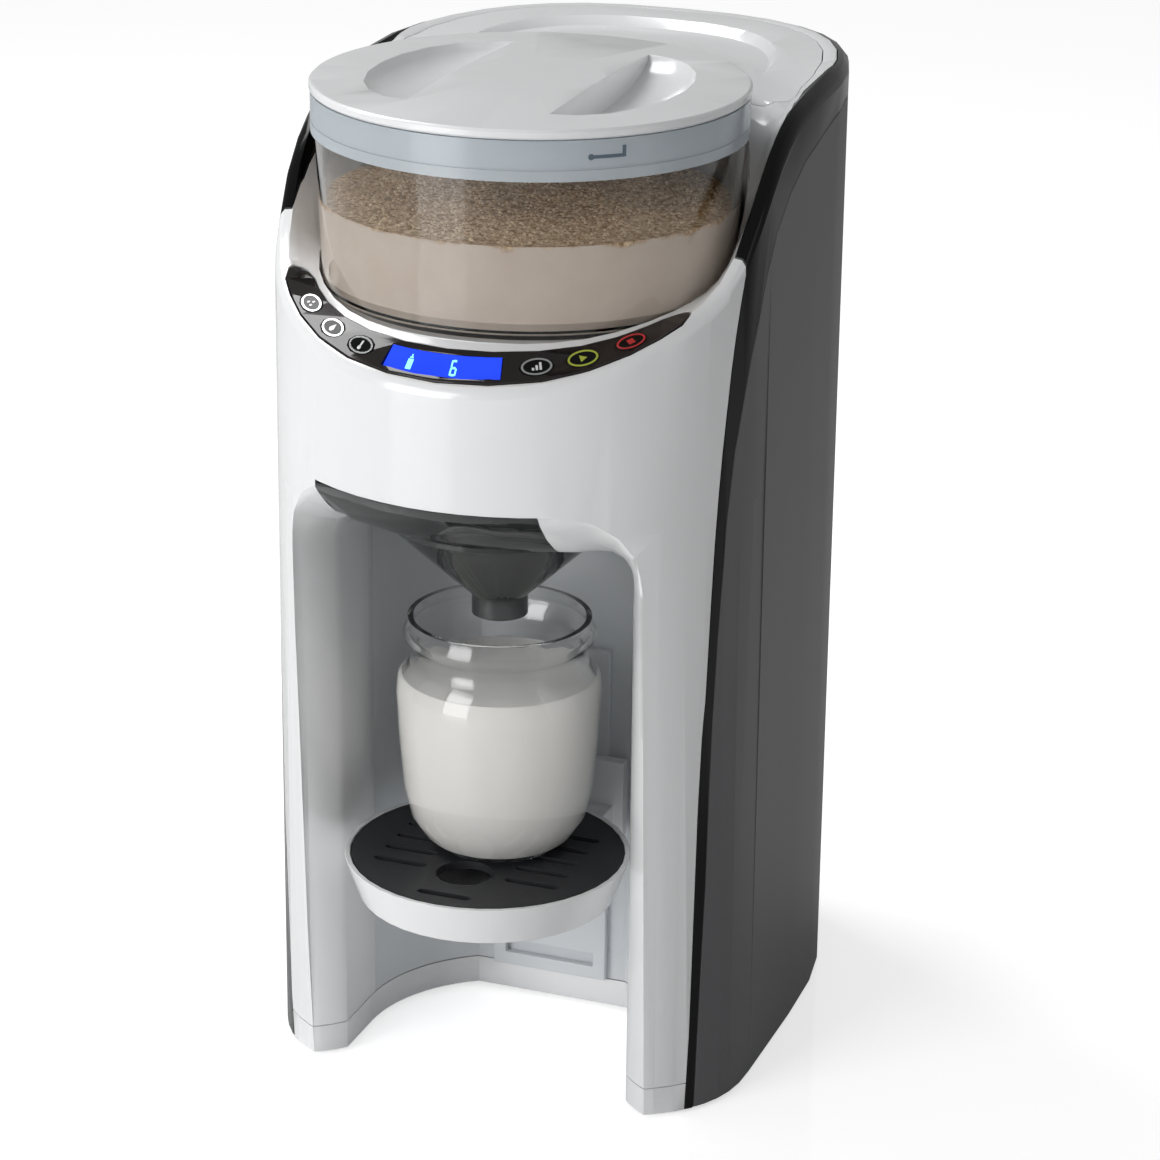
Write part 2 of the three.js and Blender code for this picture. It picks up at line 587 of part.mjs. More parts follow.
function tankBlock(inset, low, high) {
  const plan = prismZ(planOutline(1, TANK.sideInset + inset), low, high);
  return plan.intersect(box(-ACROSS, ACROSS, TANK.front + inset, FAR_BACK, low - OVERRUN, high + OVERRUN));
}

// Keeps the main body where a cut leaves slivers behind
function largest(solid) {
  const bodies = solid.decompose();
  return bodies.reduce((best, body) => (body.volume() > best.volume() ? body : best), bodies[0]);
}

// Height of the deck at a place round the hopper
function deckSurface(x, y) {
  const reach = Math.hypot(x, y);
  const edge = HEAD_FRONT - SHOULDER;
  const share = Math.min(Math.max((reach - SEAT.radius) / (edge - SEAT.radius), 0), 1);
  const inner = seatHeight((y * SEAT.radius) / reach);
  const outer = crestHeight((y * HEAD_FRONT) / reach);
  return mix(inner, outer, share ** DISH_POWER);
}

// A band round the front of the deck, from a depth below its surface to a height above it.
// Half its length and the radius of its ends are measured round the head.
function deckBand(halfLength, inner, outer, depth, height, steps, endRadius = 0) {
  const rings = [];
  const middle = (inner + outer) / 2;
  const end = halfLength / PANEL_MIDDLE;
  const roundAngle = endRadius / middle;
  for (let i = 0; i <= steps; i += 1) {
    const angle = -end * Math.cos((Math.PI * i) / steps);
    const past = roundAngle > 0 ? Math.max((Math.abs(angle) - end + roundAngle) / roundAngle, 0) : 0;
    const half = ((outer - inner) / 2) * Math.sqrt(Math.max(1 - past ** 2, 1 / steps));
    const low = [];
    const high = [];
    for (let k = 0; k <= PANEL.rows; k += 1) {
      const radius = middle + half * ((2 * k) / PANEL.rows - 1);
      const [x, y] = [radius * Math.sin(angle), -radius * Math.cos(angle)];
      const surface = deckSurface(x, y);
      low.push([x, y, surface - depth]);
      high.push([x, y, surface + height]);
    }
    rings.push([...low, ...high.reverse()]);
  }
  const centreOf = (ring) => [0, 1, 2].map((k) => ring.reduce((sum, p) => sum + p[k], 0) / ring.length);
  return stacked(rings, centreOf(rings[0]), centreOf(rings[rings.length - 1]));
}

const ring = (outer, inner, low, high, x = 0, y = 0, segments = SMALL_ROUND) => (
  disc(outer, low, high, x, y, segments)
    .subtract(disc(inner, low - OVERRUN, high + OVERRUN, x, y, segments)));

// Front shell: the white head, columns and deck
const columnZone = box(-ACROSS, ACROSS, FAR_FRONT, COLUMN_BACK, BELOW, CEILING);
const pan = tankLidBlock(PAN.wall + SEAM, PAN_BOTTOM, DECK_HEIGHT - WALL / 2).intersect(outerForm);
const coverTop = NICHE_HEIGHT + FLARE.crown;
const flangeLeft = FUNNEL.left + FUNNEL.flangeInset;
const [slotLeft, slotRight] = [flangeLeft + FUNNEL.ledge, FUNNEL.right - FUNNEL.ledge];
const slotEnd = COLUMN_BACK + OVERRUN;
const mouth = (y, low, high) => box(FUNNEL.left - SEAM, FUNNEL.right + SEAM, FAR_FRONT, y, low, high);
const flareBack = surfaceFront(FUNNEL.left - FLARE.width, NICHE_HEIGHT) + FLARE.headDepth;
const coverBackEnd = flareBack + FUNNEL.coverWall;
const funnelMouth = mouth(slotEnd, CEILING, coverTop + SEAM)
  .add(mouth(coverBackEnd + GAP, TRAY_HEIGHT, CEILING + OVERRUN))
  .add(box(slotLeft, slotRight, FAR_FRONT, slotEnd, TRAY_HEIGHT, CEILING + OVERRUN));
const nicheCut = flaredNiche().add(prismZ(nichePlan(0, COLUMN_BACK - OVERRUN), BELOW, NICHE_HEIGHT));
const coreForm = bodyForm(WALL + 3 * GAP, BELOW).intersect(innerForm);
const darkSkin = behindSeam(-SEAM / 2).subtract(rimBlock(0, PANEL_HEIGHT)).subtract(coreForm);
const panelHole = deckBand(PANEL.halfLength + SEAM, PANEL_INNER - SEAM, PANEL_OUTER + SEAM, WALL + OVERRUN,
  OVERRUN, PANEL.steps, PANEL.endRadius);
const lip = flaredNiche(WALL).intersect(outerForm);
const frontShell = outerForm.subtract(innerForm.subtract(columnZone)).add(pan).add(lip)
  .subtract(darkSkin).subtract(seatBore).subtract(nicheCut)
  .subtract(box(-ACROSS, ACROSS, FAR_FRONT, FAR_BACK, BELOW, BASE_BAND + SEAM / 2))
  .subtract(tankLidBlock(SEAM, PAN_FLOOR, ABOVE))
  .subtract(tankBlock(-LOOSE, PAN_BOTTOM - OVERRUN, ABOVE))
  .subtract(funnelMouth).subtract(panelHole);
add("front_shell", largest(frontShell), "white");

// Black hoop and grey rear shell
const skin = outerForm.subtract(innerForm);
const hoop = skin.intersect(behindSeam(SEAM / 2)).subtract(belowHoop(0))
  .subtract(rimBlock(SEAM, PANEL_HEIGHT));
add("trim_hoop", largest(hoop), "black");

const inletHole = box(-INLET.halfWidth - GAP, INLET.halfWidth + GAP, BODY_REAR - INLET.depth, FAR_BACK,
  INLET.bottom - GAP, INLET.bottom + INLET.height + GAP);
add("rear_shell", largest(skin.intersect(belowHoop(SEAM)).subtract(inletHole)), "grey");

// Base and its feet
const baseFront = outerForm.intersect(box(-ACROSS, ACROSS, FAR_FRONT, COLUMN_BACK, BELOW, BASE_BAND - SEAM / 2))
  .subtract(darkSkin);
const baseWall = prismZ(nichePlan(LINER, COLUMN_BACK), FOOT.height, BASE_BAND - SEAM / 2);
const baseFloor = prismZ(planOutline(0, WALL + SEAM), FOOT.height, BASE_TOP)
  .intersect(box(-ACROSS, ACROSS, COLUMN_BACK - OVERRUN, FAR_BACK, BELOW, ABOVE));
add("base_plate", largest(baseFloor.add(baseFront).add(baseWall).subtract(nicheCut)), "white");

const footPlaces = {
  front_left: [-(HALF - FOOT.inset - FOOT.radius), -(FOOT_FRONT / 2)],
  front_right: [HALF - FOOT.inset - FOOT.radius, -(FOOT_FRONT / 2)],
  rear_left: [-(HALF - 2 * FOOT.inset), BODY_REAR - 2 * FOOT.inset - FOOT.radius],
  rear_right: [HALF - 2 * FOOT.inset, BODY_REAR - 2 * FOOT.inset - FOOT.radius],
};
for (const [place, [x, y]] of Object.entries(footPlaces)) {
  add(`foot_${place}`, disc(FOOT.radius, 0, FOOT.height - GAP, x, y), "rubber");
}

// Niche liner and the tray's rail
const linerFront = COLUMN_BACK + GAP;
const linerWall = prismZ(nichePlan(LINER, linerFront), BASE_BAND + SEAM / 2, CEILING)
  .subtract(prismZ(nichePlan(0, linerFront - OVERRUN), BELOW, NICHE_HEIGHT));
const neckHole = disc(FUNNEL.neckRadius + SEAM, TRAY_HEIGHT, CEILING + OVERRUN, 0, SPOUT_AXIS, ROUND);
const liner = linerWall.subtract(neckHole);
add("niche_liner", largest(liner), "liner");

const railFace = NICHE_DEPTH - GAP - RAIL.depth;
let rail = box(-RAIL.halfWidth, RAIL.halfWidth, railFace, NICHE_DEPTH - GAP, BASE_BAND + SEAM, RAIL.top);
for (let i = 0; i < SLOT.count; i += 1) {
  const middle = SLOT.first + SLOT.pitch * i;
  rail = rail.subtract(box(-SLOT.halfWidth, SLOT.halfWidth, railFace - OVERRUN, NICHE_DEPTH + OVERRUN,
    middle - SLOT.height / 2, middle + SLOT.height / 2));
}
add("tray_rail", rail, "liner");

// Chassis: the bulkhead and the tank bay's floor
const bulkheadBack = BULKHEAD.y + BULKHEAD.thickness;
const bayFloor = box(-ACROSS, ACROSS, BULKHEAD.y, FAR_BACK, BAY_FLOOR - BULKHEAD.thickness, BAY_FLOOR);
const bulkheadPlate = box(-ACROSS, ACROSS, BULKHEAD.y, bulkheadBack, BASE_TOP + GAP, PAN_BOTTOM - GAP);
const valveHole = disc(VALVE.radius + LOOSE, BELOW, ABOVE, 0, VALVE.y);
const hoseHole = box(-HOSE.radius - LOOSE, HOSE.radius + LOOSE, BULKHEAD.y - OVERRUN, bulkheadBack + OVERRUN,
  BASE_TOP, BAY_FLOOR - SOCKET.depth + SOCKET.floor + 3 * HOSE.radius);
const chassis = bayFloor.add(bulkheadPlate).intersect(prismZ(planOutline(1, BULKHEAD.sideInset), BELOW, ABOVE))
  .subtract(valveHole).subtract(hoseHole);
add("chassis", chassis, "inner");

// Hopper seat, with the well's wall behind the hopper
const wellZone = box(-ACROSS, ACROSS, SEAT.wellFront, FAR_BACK, SEAT_TOP - SEAT.thickness, PAN_BOTTOM - GAP);
const well = turned(boreAt(SEAT.wellWall)).subtract(seatBore).intersect(wellZone)
  .intersect(bodyForm(WALL + 8 * GAP, BELOW));
let seat = disc(SEAT.radius, SEAT_TOP - SEAT.thickness, SEAT_TOP, 0, 0, ROUND)
  .add(disc(SEAT.radius + SEAT.wellWall, SEAT_TOP - SEAT.thickness, SEAT_TOP, 0, 0, ROUND)
    .intersect(wellZone)).add(well);
const postPlace = (SEAT.radius - SEAT.postInset) / Math.SQRT2;
for (const [sx, sy] of [[-1, -1], [-1, 1], [1, -1], [1, 1]]) {
  seat = seat.add(disc(SEAT.postRadius, SHELF_TOP + GAP, SEAT_TOP - SEAT.thickness / 2, sx * postPlace,
    sy * postPlace));
}
seat = seat.subtract(disc(SPINDLE.radius + LOOSE, BELOW, ABOVE))
  .subtract(disc(CHUTE.radius, BELOW, ABOVE, 0, SPOUT_AXIS));
add("hopper_seat", largest(seat), "white");

// Shelf that carries the seat and the gear drive
const boardTop = SHELF_BOTTOM - BOARD.drop;
const boardFront = BOARD.frontInset - HEAD_FRONT;
const boardBack = boardFront + BOARD.depth;
let shelf = prismZ(planOutline(1, SHELF.inset), SHELF_BOTTOM, SHELF_TOP)
  .intersect(box(-ACROSS, ACROSS, SHELF.frontInset - HEAD_FRONT, SHELF.back, BELOW, ABOVE));
for (const side of [-1, 1]) {
  shelf = shelf.add(disc(BOARD.postRadius, boardTop + GAP, SHELF_TOP - GAP,
    side * (BOARD.halfWidth - BOARD.postInset), boardBack - BOARD.postInset / 2));
}
const bushRadius = SPINDLE.radius + RUN + BUSH.wall;
shelf = shelf.subtract(disc(bushRadius + GAP, BELOW, ABOVE))
  .subtract(disc(CHUTE.radius + CHUTE.wall + GAP, BELOW, ABOVE, 0, SPOUT_AXIS));
add("mechanism_shelf", shelf, "inner");

// Gear drive: involute gears from their module and pressure angle
function involuteGear(teeth, low, high, boreRadius) {
  const pitch = (GEAR.module * teeth) / 2;
  const base = pitch * Math.cos(degrees(GEAR.pressureAngle));
  const tip = pitch + GEAR.addendum * GEAR.module;
  const root = pitch - GEAR.dedendum * GEAR.module;
  const involute = (radius) => {
    const turn = Math.sqrt(Math.max((radius / base) ** 2 - 1, 0));
    return turn - Math.atan(turn);
  };
  const halfTooth = Math.PI / (2 * teeth) - GEAR.backlash / (4 * pitch) + involute(pitch);
  const start = Math.max(base, root);
  const points = [];
  for (let i = 0; i < teeth; i += 1) {
    const centre = (2 * Math.PI * i) / teeth;
    const flank = [];
    for (let k = 0; k <= GEAR.flankSteps; k += 1) {
      const radius = mix(start, tip, k / GEAR.flankSteps);
      flank.push([radius, halfTooth - involute(radius)]);
    }
    if (root < base) flank.unshift([root, halfTooth - involute(start)]);
    for (const [radius, angle] of flank) {
      points.push([radius * Math.cos(centre - angle), radius * Math.sin(centre - angle)]);
    }
    for (const [radius, angle] of [...flank].reverse()) {
      points.push([radius * Math.cos(centre + angle), radius * Math.sin(centre + angle)]);
    }
  }
  return prismZ(points, low, high).subtract(disc(boreRadius, low - OVERRUN, high + OVERRUN));
}

const pinionDistance = (GEAR.module * (GEAR.driveTeeth + GEAR.pinionTeeth)) / 2;
const pinionX = pinionDistance * Math.cos(degrees(MOTOR.turn));
const pinionY = pinionDistance * Math.sin(degrees(MOTOR.turn));
// A tooth of the drive gear points at the pinion, and a gap of the pinion points back at it
const gearTurn = MOTOR.turn;
const pinionTurn = MOTOR.turn + 180 + 180 / GEAR.pinionTeeth;
const driveGear = involuteGear(GEAR.driveTeeth, GEAR_BOTTOM, GEAR_TOP, SPINDLE.radius + GAP);
add("drive_gear", driveGear.rotate([0, 0, gearTurn]), "gear");
const pinion = involuteGear(GEAR.pinionTeeth, GEAR_BOTTOM, GEAR_TOP, MOTOR.shaftRadius + GAP);
add("pinion", pinion.rotate([0, 0, pinionTurn]).translate([pinionX, pinionY, 0]), "gear");
add("drive_spindle", disc(SPINDLE.radius, PLATE_BOTTOM - SPINDLE.tail, WHEEL_TOP - GAP), "steel");
add("motor_shaft", disc(MOTOR.shaftRadius, PLATE_BOTTOM, GEAR_TOP, pinionX, pinionY, TINY_ROUND), "steel");
const motorTop = PLATE_BOTTOM - GAP;
add("motor", disc(MOTOR.radius, motorTop - MOTOR.height, motorTop, pinionX, pinionY), "steel");
const bushBore = SPINDLE.radius + RUN;
const bushFoot = SHELF_BOTTOM - GAP - BUSH.flangeHeight;
const bush = ring(bushRadius, bushBore, bushFoot, SHELF_TOP)
  .add(ring(bushRadius + BUSH.flange, bushBore, bushFoot, SHELF_BOTTOM - GAP));
add("spindle_bush", bush, "gear");
let plate = box(GEAR_PLATE.x0, GEAR_PLATE.x1, GEAR_PLATE.y0, GEAR_PLATE.y1, PLATE_BOTTOM, PLATE_TOP)
  .subtract(disc(SPINDLE.radius + RUN, BELOW, ABOVE))
  .subtract(disc(MOTOR.shaftRadius + RUN, BELOW, ABOVE, pinionX, pinionY));
for (const [x, y] of GEAR_PLATE.posts) {
  plate = plate.add(disc(GEAR_PLATE.postRadius, PLATE_BOTTOM, SHELF_BOTTOM - GAP, x, y));
}
add("gear_plate", plate, "inner");

// Powder chute from the seat to the funnel
const chuteOuter = CHUTE.radius + CHUTE.wall;
const chuteBottom = FLANGE_BOTTOM + FUNNEL.flangeThickness + LOOSE;
const chute = disc(chuteOuter, chuteBottom, SEAT_TOP - SEAT.thickness - GAP, 0, SPOUT_AXIS)
  .add(disc(chuteOuter + CHUTE.flange, SHELF_TOP + GAP, SHELF_TOP + GAP + CHUTE.flangeHeight, 0, SPOUT_AXIS))
  .subtract(disc(CHUTE.radius, BELOW, ABOVE, 0, SPOUT_AXIS));
add("powder_chute", chute, "liner");

// Funnel, with its neck through the niche's ceiling, and its front cover, which lies in the niche's flare
const coneTop = NICHE_HEIGHT - GAP;
const funnelOuter = turned([
  [0, FUNNEL.spoutEnd], [FUNNEL.spoutRadius, FUNNEL.spoutEnd], [FUNNEL.spoutRadius, FUNNEL.spoutTop],
  [FUNNEL.topRadius, coneTop - FUNNEL.wall], [FUNNEL.topRadius, coneTop], [0, coneTop],
], ROUND, 0, SPOUT_AXIS);
const boreRadius = FUNNEL.spoutRadius - FUNNEL.wall;
const funnelInner = turned([
  [0, FUNNEL.spoutEnd - OVERRUN], [boreRadius, FUNNEL.spoutEnd - OVERRUN],
  [boreRadius, FUNNEL.spoutTop + FUNNEL.wall / 2], [FUNNEL.neckRadius - FUNNEL.wall, coneTop - 2 * FUNNEL.wall],
  [FUNNEL.neckRadius - FUNNEL.wall, coneTop], [0, coneTop],
], ROUND, 0, SPOUT_AXIS);
const neck = (inset, low, high) => disc(FUNNEL.neckRadius - inset, low, high, 0, SPOUT_AXIS, ROUND)
  .intersect(box(slotLeft + GAP + inset, slotRight - GAP - inset, FAR_FRONT, FAR_BACK, low, high));
const flangeTop = FLANGE_BOTTOM + FUNNEL.flangeThickness;
const coverBack = flaredNiche().translate([0, FUNNEL.coverWall, 0]);
const flange = box(flangeLeft, FUNNEL.right, FAR_FRONT, FUNNEL.back, FLANGE_BOTTOM, flangeTop)
  .subtract(coverBack.translate([0, GAP, 0]));
const funnel = funnelOuter.add(neck(0, coneTop - GAP, FLANGE_BOTTOM + GAP)).add(flange)
  .subtract(funnelInner).subtract(neck(FUNNEL.wall, coneTop - GAP, flangeTop + OVERRUN));
add("funnel", largest(funnel), "smoke");
const cover = coverBack.subtract(flaredNiche()).intersect(outerForm)
  .intersect(box(FUNNEL.left, FUNNEL.right, FAR_FRONT, NICHE_CENTRE - OVERRUN, NICHE_HEIGHT - NICHE_CORNER,
    coverTop));
add("funnel_cover", largest(cover), "smoke");

// Clear hopper and what is in it
const hopperInner = HOPPER_RADIUS - HOPPER.wall;
const hopperProfile = (inset) => [
  [0, HOPPER.bottom + inset], [HOPPER.footRadius - HOPPER.corner - inset, HOPPER.bottom + inset],
  [HOPPER.footRadius - inset, HOPPER.bottom + HOPPER.corner + inset], [HOPPER_RADIUS - inset, COLLAR.bottom],
];
const spindleBore = disc(HOPPER.boreRadius, BELOW, ABOVE);
const outlet = disc(HOPPER.outletRadius, BELOW, HOPPER.bottom + HOPPER.corner + OVERRUN, 0, SPOUT_AXIS);
const hopperOuter = turned([...hopperProfile(0), [HOPPER_RADIUS, HOPPER.top], [0, HOPPER.top]]);
const hopperHollow = turned([...hopperProfile(HOPPER.floor).slice(0, 3), [hopperInner, COLLAR.bottom],
  [hopperInner, HOPPER.top + OVERRUN], [0, HOPPER.top + OVERRUN]]);
add("hopper", hopperOuter.subtract(hopperHollow).subtract(spindleBore).subtract(outlet), "clear");

const collarInner = HOPPER_RADIUS + GAP;
const groove = COLLAR.radius - COLLAR.groove;
const collarSeat = HOPPER.top + GAP;
add("hopper_collar", turned([
  [collarInner, COLLAR.bottom], [COLLAR.radius, COLLAR.bottom], [COLLAR.radius, HOPPER.top],
  [groove, HOPPER.top], [groove, HOPPER.top + COLLAR.grooveHeight],
  [COLLAR.radius, HOPPER.top + COLLAR.grooveHeight], [COLLAR.radius, COLLAR.top],
  [COLLAR.innerRadius, COLLAR.top], [COLLAR.innerRadius, collarSeat], [collarInner, collarSeat],
]), "collar");

// Hopper lid with a grip bar between two finger scoops, and its gasket
const lidRim = LID_BOTTOM + LID.rim;
const lidTop = lidRim + LID.crown;
const plugBottom = LID_BOTTOM - LID.plugDepth;
const gasketBottom = GASKET.top - GASKET.height;
const grooveRadius = LID.plugRadius - GASKET.grooveDepth;
const lidBlank = turned([
  [0, plugBottom], [LID.plugRadius, plugBottom], [LID.plugRadius, gasketBottom - GAP],
  [grooveRadius, gasketBottom - GAP], [grooveRadius, GASKET.top + GAP], [LID.plugRadius, GASKET.top + GAP],
  [LID.plugRadius, LID_BOTTOM], [LID.radius - LID.edge, LID_BOTTOM], [LID.radius, LID_BOTTOM + LID.edge],
  [LID.radius, lidRim - LID.edge], [LID.radius - LID.edge, lidRim], [LID.gripHalfWidth, lidTop], [0, lidTop],
]);
let hopperLid = lidBlank;
const scoopForm = new THREE.SphereGeometry(1, ROUND / 2, TINY_ROUND);
scoopForm.rotateX(Math.PI / 2);
scoopForm.scale(LID.scoopReach, LID.scoopLength, LID.scoopDepth);
for (const side of [-1, 1]) {
  const scoop = outward(dropSlivers(scoopForm)).translate([side * LID.gripHalfWidth, 0, lidTop]);
  const outside = side > 0 ? box(LID.gripHalfWidth, ACROSS, FAR_FRONT, FAR_BACK, BELOW, 2 * DECK_HEIGHT)
    : box(-ACROSS, -LID.gripHalfWidth, FAR_FRONT, FAR_BACK, BELOW, 2 * DECK_HEIGHT);
  hopperLid = hopperLid.subtract(scoop.intersect(outside));
}
add("hopper_lid", largest(hopperLid), "white");
add("lid_gasket", turned([
  [grooveRadius + GAP, gasketBottom], [COLLAR.innerRadius - GAP, gasketBottom],
  [COLLAR.innerRadius - GAP, GASKET.top], [grooveRadius + GAP, GASKET.top],
]), "seal");

// Dosing wheel and stirrer
let wheel = disc(WHEEL.radius, WHEEL_BOTTOM, WHEEL_TOP, 0, 0, ROUND)
  .subtract(disc(SPINDLE.radius + GAP, BELOW, WHEEL_TOP + OVERRUN));
for (let i = 0; i < WHEEL.pockets; i += 1) {
  const angle = (2 * Math.PI * i) / WHEEL.pockets;
  wheel = wheel.subtract(disc(WHEEL.pocketRadius, BELOW, WHEEL_TOP + OVERRUN, -SPOUT_AXIS * Math.sin(angle),
    SPOUT_AXIS * Math.cos(angle), TINY_ROUND));
}
add("dosing_wheel", wheel, "gear");
const stirrerBottom = WHEEL_TOP + GAP;
let stirrer = disc(STIRRER.hubRadius, stirrerBottom, stirrerBottom + STIRRER.bladeHeight);
for (let i = 0; i < STIRRER.blades; i += 1) {
  const half = STIRRER.bladeWidth / 2;
  const blade = box(0, STIRRER.reach, -half, half, stirrerBottom, stirrerBottom + STIRRER.bladeHeight);
  stirrer = stirrer.add(blade.rotate([0, 0, (360 * i) / STIRRER.blades]));
}
add("stirrer", stirrer, "gear");

// Powder, hollow over the stirrer
const powderRoof = stirrerBottom + STIRRER.bladeHeight + POWDER.roofGap;
const powderFloor = HOPPER.bottom + HOPPER.floor + GAP;
const stirrerRoom = STIRRER.reach + LOOSE;
const hollowScale = (height) => mix(HOPPER.footRadius, HOPPER_RADIUS,
  (height - HOPPER.bottom) / (COLLAR.bottom - HOPPER.bottom)) - HOPPER.floor - GAP;
add("powder_fill", turned([
  [stirrerRoom, powderFloor], [hollowScale(powderFloor) - HOPPER.corner, powderFloor],
  [hollowScale(powderFloor) - GAP, powderFloor + HOPPER.corner], [hollowScale(POWDER.level) - GAP, POWDER.level],
  [hollowScale(POWDER.level) * POWDER.moundShare, POWDER.level + POWDER.mound], [0, POWDER.level + POWDER.mound],
  [0, powderRoof], [stirrerRoom, powderRoof],
]), "powder");

// Control panel
const panelDepth = WALL + GAP + PANEL.flange;
const bezelFace = deckBand(PANEL.halfLength, PANEL_INNER, PANEL_OUTER, panelDepth, 0, PANEL.steps,
  PANEL.endRadius);
const bezelBlank = bezelFace
  .add(deckBand(PANEL.halfLength + PANEL.flangeEnd, PANEL_INNER - PANEL.flangeLap, PANEL_OUTER - PANEL.flangeLap,
    panelDepth + PANEL.flange, -(WALL + 6 * GAP), PANEL.steps));
const lensInner = PANEL_MIDDLE - DISPLAY.width / 2;
const lensOuter = PANEL_MIDDLE + DISPLAY.width / 2;
const lensRecess = deckBand(DISPLAY.halfLength + SEAM, lensInner - GAP, lensOuter + GAP, DISPLAY.thickness + GAP,
  OVERRUN, DISPLAY.steps);
const windowHalf = DISPLAY.halfLength - DISPLAY.lipEnd;
const window = deckBand(windowHalf, lensInner + DISPLAY.lip, lensOuter - DISPLAY.lip, panelDepth + OVERRUN,
  OVERRUN, DISPLAY.steps);
let bezel = bezelBlank.subtract(lensRecess).subtract(window);

// An oval along Z, from its length, width and two heights
function oval(length, width, low, high, segments = TINY_ROUND) {
  const points = [];
  for (let i = 0; i < segments; i += 1) {
    const angle = (2 * Math.PI * i) / segments;
    points.push([(length / 2) * Math.cos(angle), (width / 2) * Math.sin(angle)]);
  }
  return prismZ(points, low, high);
}

// Moves a solid made on the origin to a button's place, square to the panel's surface
function atPanel(solid, place) {
  const turn = place / PANEL_MIDDLE;
  const [x, y] = [PANEL_MIDDLE * Math.sin(turn), -PANEL_MIDDLE * Math.cos(turn)];
  const height = deckSurface(x, y);
  const up = new THREE.Vector3((deckSurface(x - GAP, y) - deckSurface(x + GAP, y)) / (2 * GAP),
    (deckSurface(x, y - GAP) - deckSurface(x, y + GAP)) / (2 * GAP), 1).normalize();
  const back = new THREE.Vector3(-Math.sin(turn), Math.cos(turn), 0);
  const along = new THREE.Vector3().crossVectors(back, up).normalize();
  back.crossVectors(up, along);
  return solid.transform([...along.toArray(), 0, ...back.toArray(), 0, ...up.toArray(), 0, x, y, height, 1]);
}

const boreLength = BUTTON.length + 2 * GAP;
const boreWidth = BUTTON.width + 2 * GAP;
const skirtTop = -(panelDepth + GAP);
const skirtLow = skirtTop - BUTTON.skirtHeight;
const skirtLength = BUTTON.length + 2 * BUTTON.skirt;
const skirtWidth = BUTTON.width + 2 * BUTTON.skirt;
buttonShares.forEach((share, i) => {
  const place = PANEL.halfLength * share;
  bezel = bezel.subtract(atPanel(oval(boreLength, boreWidth, 2 * skirtLow, OVERRUN)
    .add(oval(skirtLength + 2 * GAP, skirtWidth + 2 * GAP, 2 * skirtLow, skirtTop + GAP)), place));
  const button = oval(BUTTON.length, BUTTON.width, skirtLow, BUTTON.proud)
    .add(oval(skirtLength, skirtWidth, skirtLow, skirtTop));
  add(`${BUTTON_NAMES[i]}_button`, atPanel(button, place), "black");
});
add("panel_bezel", largest(bezel), "panel");
const lens = deckBand(DISPLAY.halfLength, lensInner, lensOuter, DISPLAY.thickness, 0, DISPLAY.steps);
add("display_lens", lens, "screen");
add("display_module", deckBand(windowHalf - SEAM, lensInner + DISPLAY.lip + GAP, lensOuter - DISPLAY.lip - GAP,
  DISPLAY.moduleDepth, -(DISPLAY.thickness + GAP), DISPLAY.steps), "board");
const stripTop = (BUTTON.travel + GAP - skirtLow) * STRIP.slopeFactor;
const stripInner = PANEL_INNER + STRIP.inset;
const stripOuter = PANEL_OUTER - STRIP.inset;
const stripPosts = deckBand(STRIP.halfLength, stripInner, stripOuter, stripTop + STRIP.thickness,
  -(panelDepth + PANEL.flange + 2 * GAP), STRIP.steps)
  .subtract(deckBand(STRIP.halfLength - STRIP.postLength, PANEL_INNER, PANEL_OUTER, stripTop + OVERRUN, OVERRUN,
    STRIP.steps));
add("button_strip", deckBand(STRIP.halfLength, stripInner, stripOuter, stripTop + STRIP.thickness, -stripTop,
  STRIP.steps).add(stripPosts), "board");
add("control_board", box(-BOARD.halfWidth, BOARD.halfWidth, boardFront, boardBack, boardTop - BOARD.thickness,
  boardTop), "board");

// Water tank, its valve and seal
const tankInner = tankBlock(TANK.wall, TANK.bottom + TANK.floor, TANK_RIM + OVERRUN);
const tank = tankBlock(0, TANK.bottom, TANK_RIM)
  .add(tankBlock(-TANK.flange, TANK_RIM - TANK.flangeHeight, TANK_RIM))
  .subtract(tankInner).subtract(disc(VALVE.stemRadius + GAP, BELOW, ABOVE, 0, VALVE.y));
add("water_tank", largest(tank), "clear");
const valveSeat = TANK.bottom + TANK.floor + GAP;
const stemEnd = TANK.bottom - VALVE.stemLength;
add("tank_valve", disc(VALVE.radius, valveSeat, valveSeat + VALVE.height, 0, VALVE.y)
  .add(disc(VALVE.stemRadius, stemEnd, valveSeat + VALVE.height / 2, 0, VALVE.y)), "gear");
add("tank_seal", ring(VALVE.sealRadius, VALVE.stemRadius + GAP, BAY_FLOOR - VALVE.sealHeight, BAY_FLOOR, 0,
  VALVE.y), "seal");

// Tank lid, with its hollow
function lidOutline(inset, height) {
  const arcRadius = lidCutRadius + inset;
  const half = HALF - TANK_LID.inset - inset;
  const back = BODY_REAR - SIDE_END - TANK_LID.inset - inset;
  const side = (angle) => [half * power(Math.cos(angle), 2 / PLAN.backPower),
    SIDE_END + back * power(Math.sin(angle), 2 / PLAN.backPower)];
  let [low, high] = [0, Math.PI / 2];
  for (let i = 0; i < PLAN.back; i += 1) {
    const middle = (low + high) / 2;
    if (Math.hypot(...side(middle)) < arcRadius) low = middle;
    else high = middle;
  }
  const corner = side(low);
  const reach = Math.atan2(corner[0], corner[1]);
  const points = [];
  for (let i = 0; i < PLAN.front; i += 1) {
    const angle = mix(-reach, reach, i / PLAN.front);
    points.push([arcRadius * Math.sin(angle), arcRadius * Math.cos(angle), height]);
  }
  for (let i = 0; i < PLAN.back; i += 1) points.push([...side(mix(low, Math.PI - low, i / PLAN.back)), height]);
  return points;
}

